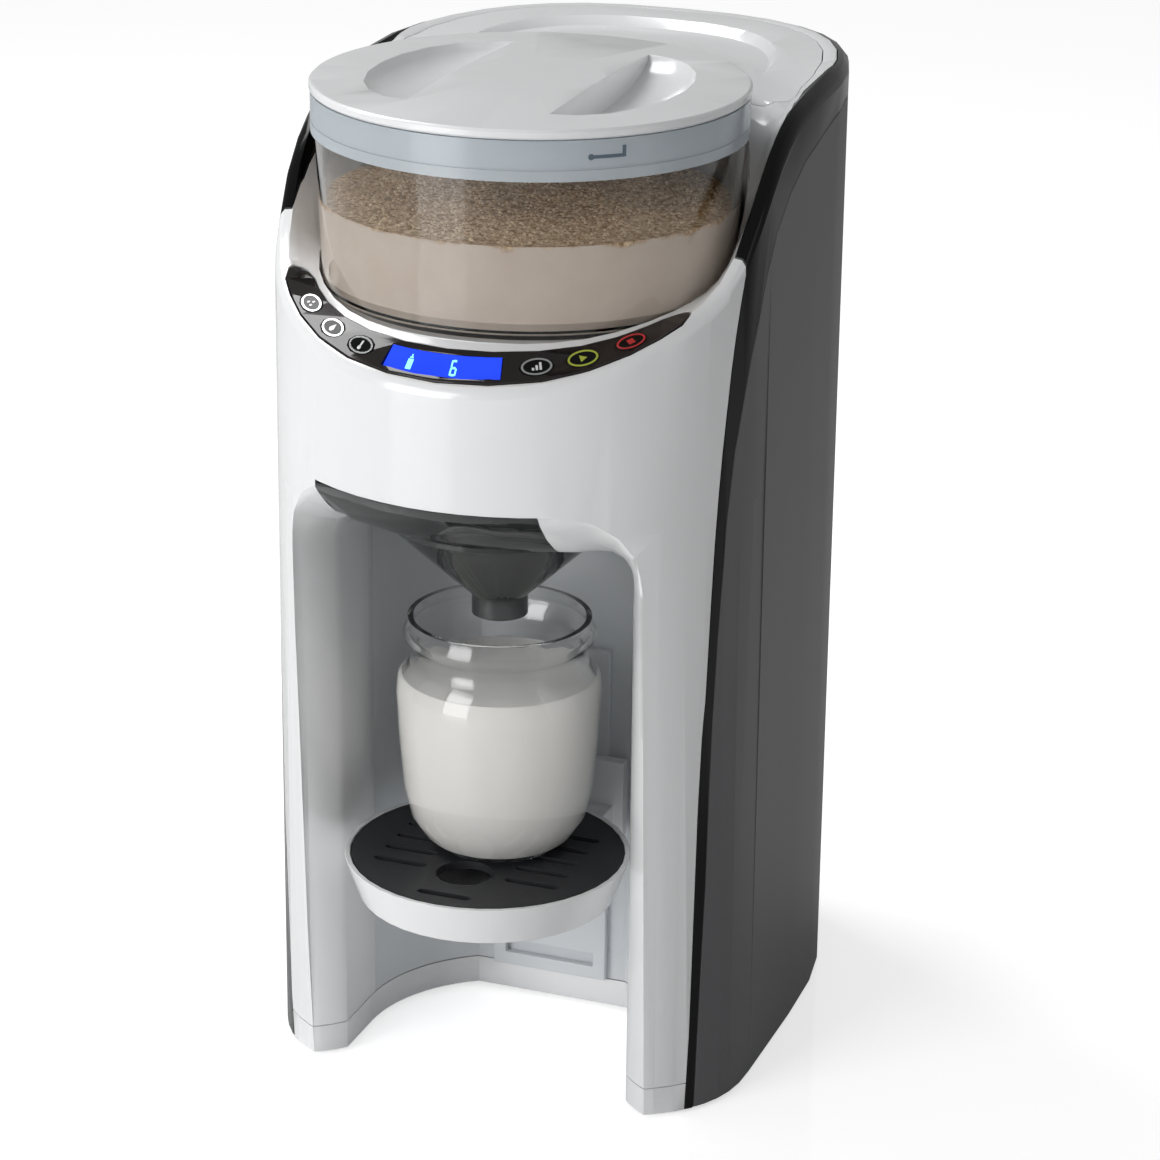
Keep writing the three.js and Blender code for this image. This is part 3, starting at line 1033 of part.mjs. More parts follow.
const lidMiddle = (lidCutRadius + BODY_REAR) / 2;
const dishFloor = DECK_HEIGHT - TANK_LID.dish;
const rise = TANK_LID.slope / TANK_LID.dish;
const dishCut = stacked([
  lidOutline(TANK_LID.rimWidth + TANK_LID.slope, dishFloor),
  lidOutline(TANK_LID.rimWidth, DECK_HEIGHT), lidOutline(TANK_LID.rimWidth - OVERRUN * rise, ABOVE),
], [0, lidMiddle, dishFloor], [0, lidMiddle, ABOVE]);
const lidBottom = PAN_FLOOR + GAP;
const lidHollow = tankLidBlock(-TANK_LID.skirt, BELOW, dishFloor - TANK_LID.skin).intersect(innerForm);
const tankLid = tankLidBlock(0, lidBottom, DECK_HEIGHT).intersect(outerForm)
  .subtract(lidHollow).subtract(dishCut);
add("tank_lid", largest(tankLid), "white");

// Socket under the tank, the pump, the heater and their hoses
const pipeX = (x0, x1, y, z, radius) => disc(radius, x0, x1, 0, 0, TINY_ROUND)
  .rotate([0, 90, 0]).translate([0, y, z]);
const pipeY = (y0, y1, x, z, radius) => disc(radius, -y1, -y0, 0, 0, TINY_ROUND)
  .rotate([90, 0, 0]).translate([x, 0, z]);
const socketTop = BAY_FLOOR - BULKHEAD.thickness - GAP;
const socketLow = socketTop - SOCKET.depth;
const socketRadius = VALVE.radius + LOOSE;
const socketPort = socketLow + SOCKET.floor + PORT.radius;
const socketWall = socketRadius + SOCKET.wall;
const socketEnd = VALVE.y - socketWall - PORT.length;
const socket = disc(socketWall, socketLow, socketTop, 0, VALVE.y)
  .add(pipeY(socketEnd, VALVE.y - socketRadius, 0, socketPort, PORT.radius))
  .subtract(disc(socketRadius, socketLow + SOCKET.floor, ABOVE, 0, VALVE.y));
add("valve_socket", socket, "inner");

const pumpLow = BASE_TOP + GAP;
const pumpTop = pumpLow + PUMP.height + PUMP.headHeight;
const pumpPort = pumpTop - PUMP.headHeight / 2;
const pumpEnd = PUMP.x + PUMP.headRadius + PORT.length;
const pump = disc(PUMP.radius, pumpLow, pumpLow + PUMP.height, PUMP.x, PUMP.y)
  .add(disc(PUMP.headRadius, pumpLow + PUMP.height / 2, pumpTop, PUMP.x, PUMP.y))
  .add(pipeX(PUMP.x, pumpEnd, PUMP.y, pumpPort, PORT.radius))
  .add(disc(PORT.radius, pumpPort, pumpTop + PORT.length, PUMP.x, PUMP.y, TINY_ROUND));
add("pump", pump, "steel");

const heaterLow = pumpLow + HEATER.standHeight;
const heaterTop = heaterLow + HEATER.height;
const heaterPort = heaterLow + HEATER.portHeight;
const heaterEnd = HEATER.x - HEATER.radius - PORT.length;
const heater = disc(HEATER.standRadius, pumpLow, heaterLow + OVERRUN, HEATER.x, HEATER.y)
  .add(disc(HEATER.radius, heaterLow, heaterTop, HEATER.x, HEATER.y))
  .add(pipeX(heaterEnd, HEATER.x, HEATER.y, heaterPort, PORT.radius))
  .add(disc(PORT.radius, heaterTop - OVERRUN, heaterTop + PORT.length, HEATER.x, HEATER.y, TINY_ROUND));
add("heater", heater, "steel");

// A hose through chosen places
function hose(name, places) {
  const round = [];
  for (let i = 0; i < HOSE.sides; i += 1) {
    const angle = (2 * Math.PI * i) / HOSE.sides;
    round.push(new THREE.Vector2(HOSE.radius * Math.cos(angle), HOSE.radius * Math.sin(angle)));
  }
  const path = new THREE.CatmullRomCurve3(places.map((place) => new THREE.Vector3(...place)));
  const geometry = new THREE.ExtrudeGeometry(new THREE.Shape(round), { steps: HOSE.steps, extrudePath: path });
  add(name, toSolid(geometry), "hose");
}

const nozzleBottom = FLANGE_BOTTOM + FUNNEL.flangeThickness + LOOSE;
const nozzleTop = nozzleBottom + NOZZLE.height;
const hoseReach = 4 * HOSE.radius;
hose("suction_hose", [
  [0, socketEnd - GAP, socketPort], [0, socketEnd - GAP - hoseReach, socketPort],
  [PUMP.x * hoseShares.start, PUMP.y + HOSE.radius, (socketPort + pumpPort) / 2],
  [pumpEnd + GAP + HOSE.radius, PUMP.y, pumpPort], [pumpEnd + GAP, PUMP.y, pumpPort],
]);
const hoseCrest = pumpTop + PORT.length + 2 * hoseReach;
hose("pressure_hose", [
  [PUMP.x, PUMP.y, pumpTop + PORT.length + GAP], [PUMP.x, PUMP.y, pumpTop + PORT.length + HOSE.radius],
  [PUMP.x * hoseShares.crest, PUMP.y, hoseCrest], [0, PUMP.y, (hoseCrest + heaterPort) / 2],
  [heaterEnd - GAP - HOSE.radius, PUMP.y, heaterPort], [heaterEnd - GAP, PUMP.y, heaterPort],
]);
hose("hot_hose", [
  [HEATER.x, HEATER.y, heaterTop + PORT.length + GAP],
  [HEATER.x, HEATER.y, heaterTop + PORT.length + hoseReach],
  [HEATER.x, HEATER.y, SUPPLY.bottom + SUPPLY.height],
  [HEATER.x / 2, HEATER.y - hoseReach, nozzleBottom + HOSE.radius],
  [-HOSE.radius, NICHE_DEPTH + hoseReach / 2, nozzleTop + HOSE.radius],
  [-hoseReach, NOZZLE.y + hoseReach, nozzleTop + hoseReach], [-2 * HOSE.radius, NOZZLE.y, nozzleTop + hoseReach],
  [0, NOZZLE.y, nozzleTop + HOSE.radius], [0, NOZZLE.y, nozzleTop + GAP],
]);

const footFront = FUNNEL.back + LOOSE;
const nozzle = disc(NOZZLE.radius, nozzleBottom, nozzleTop, 0, NOZZLE.y)
  .add(box(-NOZZLE.armHalfWidth, NOZZLE.armHalfWidth, NOZZLE.y, footFront + NOZZLE.footDepth, nozzleBottom,
    nozzleBottom + NOZZLE.armHeight))
  .add(box(-NOZZLE.armHalfWidth, NOZZLE.armHalfWidth, footFront, footFront + NOZZLE.footDepth, FLANGE_BOTTOM,
    nozzleBottom + NOZZLE.armHeight))
  .subtract(disc(NOZZLE.bore, BELOW, ABOVE, 0, NOZZLE.y, TINY_ROUND));
add("water_nozzle", nozzle, "steel");

// Power supply and mains inlet
const supplyBack = BULKHEAD.y - GAP;
const supplyFront = supplyBack - SUPPLY.board;
const blockHalf = SUPPLY.halfWidth - SUPPLY.blockMargin;
add("power_board", box(-SUPPLY.halfWidth, SUPPLY.halfWidth, supplyFront, supplyBack, SUPPLY.bottom,
  SUPPLY.bottom + SUPPLY.height)
  .add(box(-blockHalf, blockHalf, supplyFront - SUPPLY.blockDepth, supplyBack, SUPPLY.bottom + SUPPLY.blockMargin,
    SUPPLY.bottom + SUPPLY.height - SUPPLY.blockMargin)), "board");
const inletFlangeBack = BODY_REAR - WALL - 4 * GAP;
const inletFront = BODY_REAR - INLET.depth;
const inletTop = INLET.bottom + INLET.height;
const recessFront = BODY_REAR - INLET.recess;
const inletMiddle = (INLET.bottom + inletTop) / 2;
let inlet = box(-INLET.halfWidth, INLET.halfWidth, inletFront, BODY_REAR, INLET.bottom, inletTop)
  .add(box(-INLET.halfWidth - INLET.wall, INLET.halfWidth + INLET.wall, inletFront, inletFlangeBack,
    INLET.bottom - INLET.wall, inletTop + INLET.wall))
  .subtract(box(-INLET.halfWidth + INLET.wall, INLET.halfWidth - INLET.wall, recessFront, FAR_BACK,
    INLET.bottom + INLET.wall, inletTop - INLET.wall));
for (const side of [-1, 1]) {
  inlet = inlet.add(pipeY(inletFront, BODY_REAR - INLET.wall, side * INLET.pinGap, inletMiddle, INLET.pinRadius));
}
add("mains_inlet", inlet, "black");

// Drip tray and its grate
const trayProfile = [
  [0, TRAY_FLOOR], [TRAY.footRadius, TRAY_FLOOR], [TRAY_RADIUS, TRAY_HEIGHT], [0, TRAY_HEIGHT],
];
const ledgeTop = GRATE_TOP - TRAY.grateThickness - GAP;
const trayInside = TRAY_RADIUS - TRAY.wall;
const trayHollow = turned([
  [0, TRAY_FLOOR + TRAY.floor], [TRAY.footRadius - TRAY.wall, TRAY_FLOOR + TRAY.floor],
  [trayInside - TRAY.ledge, ledgeTop], [trayInside, ledgeTop], [trayInside, TRAY_HEIGHT + OVERRUN],
  [0, TRAY_HEIGHT + OVERRUN],
], ROUND, 0, TRAY_AXIS);
const trayBack = railFace - GAP;
const tongueMiddle = SLOT.first + 2 * SLOT.pitch;
const trayCup = turned(trayProfile, ROUND, 0, TRAY_AXIS)
  .add(box(-TRAY.neckHalfWidth, TRAY.neckHalfWidth, NICHE_CENTRE, trayBack, TRAY_FLOOR, TRAY_HEIGHT - TRAY.ledge))
  .add(box(-TRAY.backHalfWidth, TRAY.backHalfWidth, trayBack - TRAY.backThickness, trayBack, TRAY_FLOOR,
    TRAY_HEIGHT + TRAY.backHeight))
  .add(box(-TONGUE.halfWidth, TONGUE.halfWidth, trayBack - TRAY.wall, trayBack + TONGUE.length,
    tongueMiddle - TONGUE.height / 2, tongueMiddle + TONGUE.height / 2))
  .subtract(trayHollow);
add("drip_tray", largest(trayCup), "white");

const grateRadius = trayInside - GAP;
let grate = disc(grateRadius, GRATE_TOP - TRAY.grateThickness, GRATE_TOP, 0, TRAY_AXIS, ROUND);
function slot(x0, x1, y) {
  const half = GRATE.slotWidth / 2;
  return box(x0 + half, x1 - half, y - half, y + half, TRAY_FLOOR, TRAY_HEIGHT)
    .add(disc(half, TRAY_FLOOR, TRAY_HEIGHT, x0 + half, y, TINY_ROUND / 2))
    .add(disc(half, TRAY_FLOOR, TRAY_HEIGHT, x1 - half, y, TINY_ROUND / 2));
}
const slotTo = GRATE.slotFrom + GRATE.slotLength;
for (let i = 0; i < GRATE.rows; i += 1) {
  const y = GRATE.lastRow + GRATE.pitch * i;
  grate = grate.subtract(slot(GRATE.slotFrom, slotTo, y)).subtract(slot(-slotTo, -GRATE.slotFrom, y));
}
grate = grate.subtract(slot(-GRATE.slotLength / 2, GRATE.slotLength / 2, GRATE.frontSlot))
  .subtract(disc(GRATE.holeRadius, TRAY_FLOOR, TRAY_HEIGHT, 0, GRATE.holeAxis));
add("drip_grate", grate, "grate");

// Feeding jar and the milk in it
const jarOuter = jarShares.map(([r, h]) => [r * JAR_RADIUS, JAR_BOTTOM + h * JAR_HEIGHT]);
const jarFloor = JAR_BOTTOM + JAR.floor;
const jarInside = (gap) => jarOuter.filter(([, z]) => z > jarFloor + JAR.floor)
  .map(([r, z]) => [r - JAR.wall - gap, z]);
const radiusAt = (side, height) => {
  const i = side.findIndex(([, z]) => z > height);
  return mix(side[i - 1][0], side[i][0], (height - side[i - 1][1]) / (side[i][1] - side[i - 1][1]));
};
const jarFoot = radiusAt(jarOuter, jarFloor) - JAR.wall;
const jarRim = JAR_BOTTOM + JAR_HEIGHT;
const jarLip = jarOuter[jarOuter.length - 1][0] - JAR.wall;
const jarHollow = turned([[0, jarFloor], [jarFoot, jarFloor], ...jarInside(0),
  [jarLip, jarRim + OVERRUN], [0, jarRim + OVERRUN]], JAR.segments, 0, SPOUT_AXIS);
const jarBlank = turned([[0, JAR_BOTTOM], ...jarOuter, [0, jarRim]], JAR.segments, 0, SPOUT_AXIS);
add("feeding_jar", jarBlank.subtract(jarHollow), "clear");
const milkTop = JAR_BOTTOM + JAR.fill;
const milkSide = jarInside(GAP).filter(([, z]) => z < milkTop);
add("milk_fill", turned([[0, jarFloor + GAP], [jarFoot - GAP, jarFloor + GAP], ...milkSide,
  [radiusAt(jarInside(GAP), milkTop), milkTop], [0, milkTop]], JAR.segments, 0, SPOUT_AXIS), "milk");

export default machine;
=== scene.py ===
# %% [markdown]
# # Baby formula maker
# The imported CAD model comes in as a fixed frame: every piece has its place there, in metres, with +Z up and
# the front facing -Y. This notebook gives the pieces their finish and the details that CAD leaves out.

# %% Load the frame
import json
import math
import bmesh
import bpy
from mathutils import Matrix, Vector, noise
from mathutils.bvhtree import BVHTree


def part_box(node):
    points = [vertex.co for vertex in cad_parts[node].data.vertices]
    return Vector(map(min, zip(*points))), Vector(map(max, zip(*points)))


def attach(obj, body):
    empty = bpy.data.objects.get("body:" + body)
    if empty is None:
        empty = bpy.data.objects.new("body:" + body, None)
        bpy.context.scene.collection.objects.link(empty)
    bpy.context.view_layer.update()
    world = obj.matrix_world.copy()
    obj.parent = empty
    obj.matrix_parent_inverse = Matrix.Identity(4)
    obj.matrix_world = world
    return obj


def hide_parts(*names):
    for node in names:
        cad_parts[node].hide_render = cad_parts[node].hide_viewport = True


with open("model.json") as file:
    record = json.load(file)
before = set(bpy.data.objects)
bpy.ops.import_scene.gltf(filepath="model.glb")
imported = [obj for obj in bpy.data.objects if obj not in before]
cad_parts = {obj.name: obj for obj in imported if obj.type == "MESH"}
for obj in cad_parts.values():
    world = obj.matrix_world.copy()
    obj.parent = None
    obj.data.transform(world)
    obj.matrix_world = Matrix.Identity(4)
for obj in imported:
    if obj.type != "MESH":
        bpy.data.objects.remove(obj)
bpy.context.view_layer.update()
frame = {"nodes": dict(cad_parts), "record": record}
MM = 0.001
AXIS_Y = (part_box("hopper")[0].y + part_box("hopper")[1].y) / 2

# %% [markdown]
# ## Camera
# A product photo is taken with a long lens, so upright edges stay nearly straight. The place, the angles and
# the focal length were solved from the ellipses of the hopper, the tray and the jar, with an assumed width.

# %% Camera
IMAGE_PX = 1160
FOCAL_PX = 3694.05
CAMERA_PLACE = Vector((0.45404, -1.22241, 0.65923))
YAW, PITCH, ROLL = 0.350768, 0.357466, 0.015057


def make_camera():
    forward = Vector((-math.sin(YAW) * math.cos(PITCH), math.cos(YAW) * math.cos(PITCH), -math.sin(PITCH)))
    level = forward.cross(Vector((0, 0, 1))).normalized()
    up = level.cross(forward)
    right = level * math.cos(ROLL) + up * math.sin(ROLL)
    above = up * math.cos(ROLL) - level * math.sin(ROLL)
    data = bpy.data.cameras.new("studio_camera")
    data.sensor_width = 36.0
    data.lens = data.sensor_width * FOCAL_PX / IMAGE_PX
    data.clip_start = 0.01
    data.clip_end = 50.0
    camera = bpy.data.objects.new("studio_camera", data)
    bpy.context.collection.objects.link(camera)
    turn = Matrix((right, above, -forward)).transposed().to_4x4()
    camera.matrix_world = Matrix.Translation(CAMERA_PLACE) @ turn
    bpy.context.scene.camera = camera
    return camera


print("lens", round(make_camera().data.lens, 2), "mm")

# %% [markdown]
# ## Materials
# Each material starts from what the real one is. One function turns sRGB hex to linear colour, and one adds a
# node with its settings: a keyword that names a setting of the node sets it, and any other names a socket.

# %% Colour and node helpers
def linear(hex_colour, alpha=1.0):
    parts = [int(hex_colour[i:i + 2], 16) / 255 for i in (1, 3, 5)]
    return [c / 12.92 if c <= 0.04045 else ((c + 0.055) / 1.055) ** 2.4 for c in parts] + [alpha]


def node(tree, kind, **settings):
    made = tree.nodes.new(kind)
    for key, value in settings.items():
        if hasattr(made, key):
            setattr(made, key, value)
            continue
        name = key.replace("_", " ")
        socket = made.inputs[int(name[5:])] if name.startswith("input") else made.inputs[name]
        if isinstance(value, bpy.types.NodeSocket):
            tree.links.new(value, socket)
        else:
            socket.default_value = value
    return made


def new_material(name, **shader):
    material = bpy.data.materials.new(name)
    material.use_nodes = True
    tree = material.node_tree
    tree.nodes.clear()
    surface = node(tree, "ShaderNodeBsdfPrincipled", **shader)
    node(tree, "ShaderNodeOutputMaterial", Surface=surface.outputs[0])
    return material, tree, surface


def absorb(tree, tint, density):
    output = next(n for n in tree.nodes if n.bl_idname == "ShaderNodeOutputMaterial")
    soak = node(tree, "ShaderNodeVolumeAbsorption", Color=linear(tint), Density=density)
    tree.links.new(soak.outputs[0], output.inputs["Volume"])


def object_noise(tree, size_mm, detail=2.0, roughness=0.5):
    place = node(tree, "ShaderNodeTexCoord")
    return node(tree, "ShaderNodeTexNoise", Vector=place.outputs["Object"], Scale=1 / (size_mm * MM),
                Detail=detail, Roughness=roughness)


def add_bump(tree, surface, height, depth_mm, strength=1.0):
    bump = node(tree, "ShaderNodeBump", Height=height, Distance=depth_mm * MM, Strength=strength)
    tree.links.new(bump.outputs[0], surface.inputs["Normal"])


def blend_colours(tree, share, first, second):
    return node(tree, "ShaderNodeMix", data_type="RGBA", input_0=share, input_6=first, input_7=second)


# %% [markdown]
# ### Moulded covers
# The white covers are polished ABS. Injection moulding leaves a long, shallow waviness of some millimetres that
# only shows in reflections, so it is a faint bump and a slight change of roughness, never a pattern.

# %% Polished ABS
def polished_abs(name, colour, roughness, wave_mm=9.0, coat=0.35, shine_level=0.5):
    material, tree, surface = new_material(
        name, Base_Color=linear(colour), Roughness=roughness, IOR=1.53, Coat_Weight=coat, Coat_Roughness=0.04,
        Specular_IOR_Level=shine_level)
    wave = object_noise(tree, wave_mm, detail=1.0)
    add_bump(tree, surface, wave.outputs[0], 0.02, 0.35)
    shine = node(tree, "ShaderNodeMapRange", Value=wave.outputs[0], To_Min=roughness * 0.85,
                 To_Max=roughness * 1.2)
    tree.links.new(shine.outputs[0], surface.inputs["Roughness"])
    return material


WHITE_ABS = polished_abs("polished_white_abs", "#eeeff0", 0.2)
LINER_ABS = polished_abs("satin_white_abs", "#dcdfe2", 0.34, coat=0.1)
BLACK_ABS = polished_abs("piano_black_abs", "#060607", 0.12, wave_mm=14.0, coat=0.0, shine_level=0.18)
PANEL_ACRYLIC = polished_abs("dark_acrylic_panel", "#150d0b", 0.08, wave_mm=20.0, coat=0.0, shine_level=0.45)


# %% [markdown]
# The grey wrap and the grate are spark-eroded moulds: a fine grain scatters the light, so they look satin. The
# real grain is about 0.1 mm, too fine for this view, so it is drawn at 0.5 mm.

# %% Grained polypropylene
def grained(name, colour, roughness, grain_mm=0.5, depth_mm=0.02, shine_level=0.5):
    material, tree, surface = new_material(name, Base_Color=linear(colour), Roughness=roughness, IOR=1.49,
                                           Specular_IOR_Level=shine_level)
    grain = object_noise(tree, grain_mm, detail=3.0)
    add_bump(tree, surface, grain.outputs[0], depth_mm, 0.6)
    cloud = object_noise(tree, 60.0, detail=1.0)
    shade = linear(colour)
    lighter = [min(c * 1.12, 1.0) for c in shade[:3]] + [1.0]
    mixed = blend_colours(tree, cloud.outputs[0], shade, lighter)
    tree.links.new(mixed.outputs[2], surface.inputs["Base Color"])
    return material


GREY_WRAP = grained("satin_grey_abs", "#5f5f61", 0.45, shine_level=0.35)
GRATE_GREY = grained("grained_dark_polypropylene", "#26272a", 0.5)
FOOT_RUBBER = grained("moulded_rubber", "#26272a", 0.8, depth_mm=0.04)
SILICONE = grained("milky_silicone", "#dfe3e5", 0.5)
INNER_PLASTIC = grained("plain_inner_polypropylene", "#c9cccb", 0.5)
ACETAL = grained("natural_acetal", "#ece8dc", 0.4, depth_mm=0.01)
CIRCUIT_BOARD = grained("solder_resist_board", "#1d5b3a", 0.35)
INLET_BLACK = grained("black_nylon_inlet", "#1a1a1c", 0.5)


# %% [markdown]
# ### Clear pieces
# The hopper and the jar are clear copolyester, with real wall thickness, so light bends in them by itself.
# The collar is tinted and slightly frosted, and the funnel is smoke grey.

# %% Clear mouldings
def clear_plastic(name, colour, roughness, weight=1.0, wave_mm=12.0, soak=None):
    material, tree, surface = new_material(
        name, Base_Color=linear(colour), Roughness=roughness, IOR=1.49, Transmission_Weight=weight)
    wave = object_noise(tree, wave_mm, detail=1.0)
    add_bump(tree, surface, wave.outputs[0], 0.01, 0.25)
    if soak:
        absorb(tree, *soak)
    return material


CLEAR = clear_plastic("clear_copolyester", "#fdfdfd", 0.015, soak=("#b4b0aa", 60.0))
JAR_CLEAR = clear_plastic("clear_jar_polypropylene", "#ffffff", 0.02, soak=("#b9bcbd", 24.0))
TANK_CLEAR = clear_plastic("clear_tank_copolyester", "#f4f8fa", 0.03, soak=("#b7c6cc", 40.0))
COLLAR_BLUE = clear_plastic("blue_tinted_copolyester", "#e0e8ee", 0.2, weight=0.5)
SMOKE = clear_plastic("smoke_grey_copolyester", "#5f6463", 0.06, weight=0.8)


# %% [markdown]
# ### Metals
# Turned shafts and drawn steel cans inside the machine. The brushing runs round, so the noise is stretched.

# %% Steel
def brushed_steel(name, colour, roughness):
    material, tree, surface = new_material(
        name, Base_Color=linear(colour), Roughness=roughness, Metallic=1.0)
    place = node(tree, "ShaderNodeTexCoord")
    stretch = node(tree, "ShaderNodeMapping", Vector=place.outputs["Object"], Scale=(1.0, 1.0, 12.0))
    lines = node(tree, "ShaderNodeTexNoise", Vector=stretch.outputs[0], Scale=1 / (2.0 * MM), Detail=2.0)
    add_bump(tree, surface, lines.outputs[0], 0.01, 0.4)
    return material


STEEL = brushed_steel("brushed_steel", "#b9bcbf", 0.3)
SILVER_INK = brushed_steel("hot_stamped_silver", "#c9cbcc", 0.22)


# %% [markdown]
# ### Powder and milk
# Formula powder is a mass of dry grains that scatter light. The grains of the loose top layer are about 1 mm,
# and lower down the powder is pressed smooth against the wall.

# %% Powder and milk
def powder_material():
    material, tree, surface = new_material("milk_powder", Roughness=0.95, IOR=1.45, Specular_IOR_Level=0.2)
    place = node(tree, "ShaderNodeTexCoord")
    grains = node(tree, "ShaderNodeTexVoronoi", Vector=place.outputs["Object"], Scale=1 / (1.3 * MM))
    specks = object_noise(tree, 2.4, detail=4.0, roughness=0.7)
    clumps = object_noise(tree, 14.0, detail=3.0)
    facing = node(tree, "ShaderNodeNewGeometry")
    tilt = node(tree, "ShaderNodeSeparateXYZ", Vector=facing.outputs["True Normal"])
    height = node(tree, "ShaderNodeSeparateXYZ", Vector=place.outputs["Object"])
    wander = node(tree, "ShaderNodeMath", operation="MULTIPLY_ADD", input_0=clumps.outputs[0], input_1=0.009,
                  input_2=height.outputs[2])
    near_top = node(tree, "ShaderNodeMapRange", Value=wander.outputs[0], From_Min=POWDER_EDGE + 0.0035,
                    From_Max=POWDER_EDGE + 0.0055)
    upward = node(tree, "ShaderNodeMapRange", Value=tilt.outputs[2], From_Min=0.3, From_Max=0.5)
    loose = node(tree, "ShaderNodeMath", operation="MAXIMUM", input_0=near_top.outputs[0],
                 input_1=upward.outputs[0])
    grain_shade = node(tree, "ShaderNodeValToRGB", Fac=specks.outputs[0])
    ramp = grain_shade.color_ramp
    ramp.elements[0].position = 0.36
    ramp.elements[0].color = linear("#a97f50")
    ramp.elements[1].position = 0.66
    ramp.elements[1].color = linear("#ffe6c2")
    smooth_shade = blend_colours(tree, clumps.outputs[0], linear("#efe4d8"), linear("#dfd0c1"))
    mixed = blend_colours(tree, loose.outputs[0], smooth_shade.outputs[2], grain_shade.outputs[0])
    tree.links.new(mixed.outputs[2], surface.inputs["Base Color"])
    depth = node(tree, "ShaderNodeMath", operation="MULTIPLY", input_0=loose.outputs[0], input_1=0.7)
    bump = node(tree, "ShaderNodeBump", Height=grains.outputs[0], Distance=0.5 * MM, Strength=depth.outputs[0])
    tree.links.new(bump.outputs[0], surface.inputs["Normal"])
    return material


def grain_material():
    material, tree, surface = new_material("loose_powder_grains", Roughness=0.9, IOR=1.45)
    specks = object_noise(tree, 3.0, detail=3.0, roughness=0.7)
    shade = node(tree, "ShaderNodeValToRGB", Fac=specks.outputs[0])
    shade.color_ramp.elements[0].position = 0.35
    shade.color_ramp.elements[0].color = linear("#b38a58")
    shade.color_ramp.elements[1].position = 0.68
    shade.color_ramp.elements[1].color = linear("#ffeccb")
    tree.links.new(shade.outputs[0], surface.inputs["Base Color"])
    return material


POWDER_MOUND = 3 * MM
POWDER_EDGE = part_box("powder_fill")[1].z - POWDER_MOUND
POWDER = powder_material()
GRAINS = grain_material()


def milk_material():
    material, tree, surface = new_material("milk", Base_Color=linear("#fdfcf9"), Roughness=0.3, IOR=1.35)
    clouds = object_noise(tree, 25.0, detail=2.0)
    shade = blend_colours(tree, clouds.outputs[0], linear("#fefdfb"), linear("#f8f6f0"))
    tree.links.new(shade.outputs[2], surface.inputs["Base Color"])
    return material


MILK = milk_material()


# %% [markdown]
# ### Display
# A backlit blue liquid crystal window. It shines a little by itself, and its light is slightly uneven.

# %% Display
def display_material(name, colour, glow, strength):
    material, tree, surface = new_material(name, Base_Color=linear(colour), Roughness=0.12,
                                           Emission_Color=linear(glow), Emission_Strength=strength)
    spread = object_noise(tree, 18.0, detail=1.0)
    shade = blend_colours(tree, spread.outputs[0], linear(glow), linear(colour))
    tree.links.new(shade.outputs[2], surface.inputs["Emission Color"])
    return material


DISPLAY_BLUE = display_material("backlit_display", "#0f2fd0", "#1f4df0", 0.85)
DIGIT_CYAN = display_material("display_digit", "#7fe6ff", "#9aeeff", 1.0)
GREEN_INK = polished_abs("yellow_green_ink", "#b4be3c", 0.3)
RED_INK = polished_abs("red_ink", "#cf2a2f", 0.3)
PALE_INK = polished_abs("pale_ink", "#e2e3e3", 0.3)
BLUE_INK = polished_abs("grey_blue_ink", "#566673", 0.3)

# %% [markdown]
# ## Covers and inner pieces
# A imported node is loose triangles. A copy with its corners merged can be smoothed by angle, and its edges get
# the small radius that every moulded edge has, which catches a thin highlight.

# %% Dressing the nodes
def smooth_by_angle(mesh, angle=32):
    for face in mesh.polygons:
        face.use_smooth = True
    mesh.set_sharp_from_angle(angle=math.radians(angle))


def body_name(node_name):
    return next(body for body, nodes in frame["record"]["behaviour"]["bodies"].items() if node_name in nodes)


SAME_PLACE = 0.02 * MM
SMALLEST_RING = 4 * MM


def split_rings(work, axis_y, cuts):
    ring = work.verts.layers.float.new("ring_radius")
    for vert in work.verts:
        vert[ring] = math.hypot(vert.co.x, vert.co.y - axis_y)
    around = []
    for edge in work.edges:
        one, two = edge.verts
        level = abs(one.co.z - two.co.z) < SAME_PLACE and abs(one[ring] - two[ring]) < SAME_PLACE
        if level and one[ring] > SMALLEST_RING:
            around.append(edge)
    bmesh.ops.subdivide_edges(work, edges=around, cuts=cuts, use_grid_fill=True)
    for vert in work.verts:
        reach = math.hypot(vert.co.x, vert.co.y - axis_y)
        if reach > 1 * MM and 0 < vert[ring] / reach - 1 < 0.02:
            vert.co.x *= vert[ring] / reach
            vert.co.y = axis_y + (vert.co.y - axis_y) * vert[ring] / reach
    work.verts.layers.float.remove(ring)


def dressed(node_name, material, bevel_mm=0.0, angle=32):
    source = frame["nodes"][node_name]
    mesh = source.data.copy()
    mesh.name = node_name + "_moulding"
    work = bmesh.new()
    work.from_mesh(mesh)
    bmesh.ops.remove_doubles(work, verts=work.verts, dist=SAME_PLACE)
    bmesh.ops.dissolve_limit(work, angle_limit=math.radians(0.4), verts=work.verts, edges=work.edges)
    if node_name in TURNED:
        split_rings(work, TURNED[node_name], 3)
    work.to_mesh(mesh)
    work.free()
    mesh.materials.clear()
    mesh.materials.append(material)
    made = bpy.data.objects.new(node_name + "_moulding", mesh)
    bpy.context.collection.objects.link(made)
    if bevel_mm:
        bevel = made.modifiers.new("edge", "BEVEL")
        bevel.width = bevel_mm * MM
        bevel.segments = 2
        bevel.limit_method = "ANGLE"
        bevel.angle_limit = math.radians(angle)
        bevel.use_clamp_overlap = True
        bevel.harden_normals = True
    smooth_by_angle(mesh, angle)
    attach(made, body_name(node_name))
    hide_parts(node_name)
    return made


